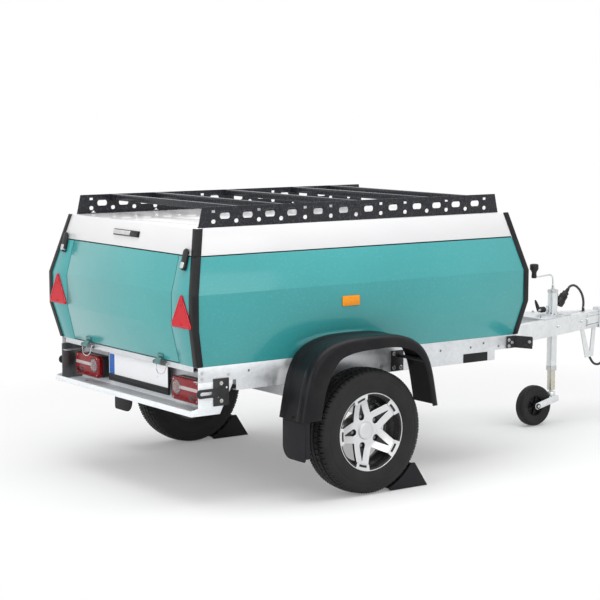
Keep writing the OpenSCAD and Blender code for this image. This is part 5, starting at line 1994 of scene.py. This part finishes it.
@dataclass
class Jockey:
    """The jockey wheel with its clamp, tube, crank, leg, fork and tyre."""

    x: float = 2662.0
    side: float = 40.0
    bore: float = 31.2
    low: float = 286.0
    high: float = 721.0
    wheel_x: float = 2535.0
    wheel_r: float = 108.0
    plate_from: float = 2440.0
    plate_to: float = 2706.0
    crank: float = 138.0

    def squares(self, stations: Sequence[Point], radius: float = 6.0) -> list[list[Point]]:
        """Rounded squares about the tube's axis, at stations of growth and height."""
        return [[(x, y, z) for x, y in rounded(self.side + grow, self.side + grow, radius, 4, (self.x, 0))]
                for grow, z in stations]

    def tube(self) -> None:
        """Builds the outer tube, its crank and its knob."""
        stock = Stock()
        half = self.side / 2
        low, high = self.low, self.high
        bore = self.bore - self.side
        stock.rings(self.squares(((bore, high - 6), (bore, low + 1), (bore, low)), 3.0)
                    + self.squares(((0.0, low), (0.0, low + 1.0), (0.0, high - 3)), 5.0))
        stock.rings(self.squares(((2.4, high - 16), (3.4, high - 15), (3.4, high - 2), (1.0, high),
                                  (-14.0, high + 3))), 1, caps=True)
        stock.rings(self.squares(((0.4, low + 26), (2.6, low + 24), (2.6, low + 2), (0.4, low))), 1)
        stock.lathe([(9, 0), (9, 4), (7.5, 5), (6.5, 22), (5.0, 24)], (self.x, 0, self.high + 2), (0, 0, 1),
                    24, 1)
        shaft = [(self.x - back, 0, high + up) for back, up in
                 ((0, 2), (1, 44), (5, 66), (16, 78), (34, 80), (90, 76), (self.crank - 8, 75.5))]
        stock.tube(smooth_route(shaft, 5), 4.4, 12, 2)
        stock.lathe([(0, 69), (11, 69), (13.5, 71), (14, 78), (13, 92), (13.4, 100), (17, 108), (22, 114),
                     (23, 118), (23, 138), (21.5, 142), (17, 144.5),
                     (0, 145.4)], (self.x - self.crank, 0, self.high), (0, 0, 1), 32, 3)
        stock.bolt((self.x + 1, -half - 1.0, self.high - 9), (0, -1, 0), 7.0, 1, False)
        stock.piece("jockey_outer_tube", "chassis", (ZINC_BAR, BOLT, WIRE, HOLDER_BLACK),
                    ("jockey_tube",))

    def clamp(self) -> None:
        """Builds the cross plate with the clamp and its lever."""
        stock = Stock()
        x0, x1 = self.plate_from, self.plate_to

        def half(x: float) -> float:
            """Half of the plate's width at x, where it ends on the drawbar's tubes."""
            return Drawbar().edge_y(x) - 10.88

        hole = self.side / 2 + 0.4
        low, top, thick = 508.0, 590.2, 5.0
        stock.prism([(x0, -half(x0)), (self.x - 34, -half(self.x - 34)), (self.x - 34, half(self.x - 34)),
                     (x0, half(x0))], top, top + thick, Axis.Z, 1.2)
        for sign in (-1, 1):
            stock.block((self.x - 34, sign * (hole + 1), top), (x1, sign * half(x1), top + thick), 1.2)
            stock.block((self.x - 26, sign * hole, low), (self.x + 26, sign * (hole + 8), top - 1), 1.8)
        for sign in (-1, 1):
            stock.block((self.x + sign * 30, -28, low), (self.x + sign * hole, 28, top - 1), 1.8)
        stock.block((self.x - 36, -13, top + thick - 1), (self.x - hole, 13, top + 46), 2.4)
        middle = top + 28
        stock.lathe([(0, 30), (8, 30), (8, 60), (0, 60)], (self.x, 0, middle), (-1, 0, 0), 20, 1)
        stock.lathe([(0, 58), (13, 58), (16, 62), (16, 84), (13, 89), (0, 90)], (self.x, 0, middle),
                    (-1, 0, 0), 24, 2)
        lever = Matrix.Translation((self.x - 98, 0, middle - 6)) @ Matrix.Rotation(math.radians(-25), 4, "Y")
        rings = [[(u, v, z) for u, v in rounded(wide, deep, 5, 4)] for wide, deep, z in
                 ((14, 12, -4), (20, 14, 4), (19, 14, 26), (14, 12, 52), (9, 9, 64), (5, 6, 67))]
        stock.rings(rings, 2, caps=True, turn=lever)
        stock.lathe([(0, 84), (9, 84), (9, 107), (7, 108.5), (0, 108.5)], (self.x, 0, middle), (-1, 0, 0), 20,
                    1)
        for x, y in ((2470, 118), (2600, 84)):
            for sign in (-1, 1):
                stock.bolt((x, sign * y, top + thick), (0, 0, 1), 13.0, 1)
        stock.piece("jockey_clamp_plate", "chassis", (ZINC, BOLT, HOLDER_BLACK),
                    ("cross_plate",))

    def lower(self) -> None:
        """Finishes the leg and builds the fork and the small wheel."""
        eased("jockey_leg", 2.2, "jockey_leg", ZINC_LEG)
        stock = Stock()
        cheek = 34.0
        axle = (self.wheel_x, 0, self.wheel_r)
        top = [(self.x + 23, 123), (self.x + 23, 152), (self.x - 20, 153)]
        arc = [(self.wheel_x + 18 * math.cos(a), self.wheel_r + 18 * math.sin(a))
               for a in (math.radians(d) for d in range(112, 293, 15))]
        outline = top + arc
        for sign in (-1, 1):
            stock.prism(outline, sign * cheek, sign * (cheek + 4), Axis.Y, 1.3)
        stock.block((self.x - 22, -cheek - 3, 147), (self.x + 22, cheek + 3, 153), 2.0)
        stock.lathe([(9.3, 147), (23, 147), (24, 150), (24, 168), (22, 171.5), (9.3, 171.5)], (self.x, 0, 0),
                    (0, 0, 1), 36)
        stock.lathe([(0, -44), (8, -44), (8, 44), (0, 44)], axle, (0, 1, 0), 20, 1)
        for sign in (-1, 1):
            stock.lathe([(0, 43.5), (13, 43.5), (14, 42), (14, 38.4), (0, 38.4)], axle, (0, sign, 0), 28, 2)
        stock.piece("jockey_fork_cheeks", "jockey_fork", (ZINC_BAR, BOLT, HOLDER_BLACK),
                    ("jockey_fork",))
        wheel = Stock()
        r = self.wheel_r
        profile = [(56, 18), (62, 21), (70, 23.4), (r - 25, 26), (r - 17, 27.6), (r - 13, 27.9),
                   (r - 9, 27.2), (r - 5, 24.6), (r - 2.4, 20.6), (r - 0.8, 15), (r - 0.8, 13.4),
                   (r - 1.6, 12.6), (r - 1.6, 11.2), (r - 0.6, 10.4), (r, 4), (r, 0)]
        both = profile + [(a, -b) for a, b in profile[-2::-1]]
        wheel.lathe(both, axle, (0, 1, 0), 96)
        wheel.piece("jockey_wheel_tyre", "jockey_wheel", (TYRE_RUBBER,), ("jockey_tyre",),
                    crease=30)
        self.small_rim()

    def small_rim(self) -> None:
        """Builds the small wheel's plastic rim."""
        stock = Stock()
        centre = (self.wheel_x, 0, self.wheel_r)
        stock.lathe([(8.2, -25.6), (14, -25.6), (17, -22), (18, -8), (18, 8), (17, 22), (14, 25.6),
                     (8.2, 25.6)], centre, (0, 1, 0), 36, closed=True)
        stock.lathe([(55.8, -17.6), (52, -18.4), (49.5, -16), (48.5, -6), (48.5, 6), (49.5, 16), (52, 18.4),
                     (55.8, 17.6)], centre, (0, 1, 0), 64, closed=True)
        for k in range(6):
            turn = Matrix.Translation(centre) @ Matrix.Rotation(math.radians(60 * k + 12), 4, "Y")
            stock.block((-5.5, -14, 15), (5.5, 14, 50.5), 2.0, 0, turn)
        stock.lathe([(17, -3), (49, -3), (49, 3), (17, 3)], centre, (0, 1, 0), 48, 1, True)
        stock.piece("jockey_wheel_rim", "jockey_wheel", (GUARD_BLACK, RIM_SHADOW),
                    ("jockey_rim",))

    def holder(self) -> None:
        """Finishes the plug's holder."""
        dress("plug_holder", HOLDER_BLACK)
        stock = Stock()
        for y in (-10, 10):
            stock.dome((self.x + 24.0, y, 694), (1, 0, 0), 3.6, 2.2)
        stock.piece("plug_holder_screws", "chassis", (BOLT,))

    def build(self) -> None:
        """Builds the jockey wheel."""
        self.tube()
        self.clamp()
        self.lower()
        self.holder()
        log.info("jockey wheel: clamp, tube, crank, leg, fork, wheel")


def guard_stays() -> None:
    """Finishes the stays that carry the mudguards."""
    dress("guard_stays", BRACKET_BLACK)
    stock = Stock()
    for side in Side:
        s = side.value
        for stay_x in (626, 1115):
            for dx, z in ((-20, 520), (20, 520), (-20, 585)):
                stock.bolt((stay_x + dx, s * 610, z), (0, s, 0), 11.0)
    stock.piece("stay_bolts", "chassis", (BOLT,))
    log.info("guard stays")


def main() -> None:
    """Builds the trailer in order and reports each piece."""
    logging.basicConfig(level=logging.INFO, format="%(name)s: %(message)s")
    Stage().build()
    LightingCable().build()
    Box().build()
    RearReflectors().build()
    LidHardware().build()
    RoofRack().build()
    RearEnd().build()
    Chassis().build()
    Drawbar().build()
    guard_stays()
    for side in Side:
        Mudguard(side).build()
        RoadWheel(side).build()
        Chock(side).build()
    Jockey().build()


if __name__ == "__main__":
    main()
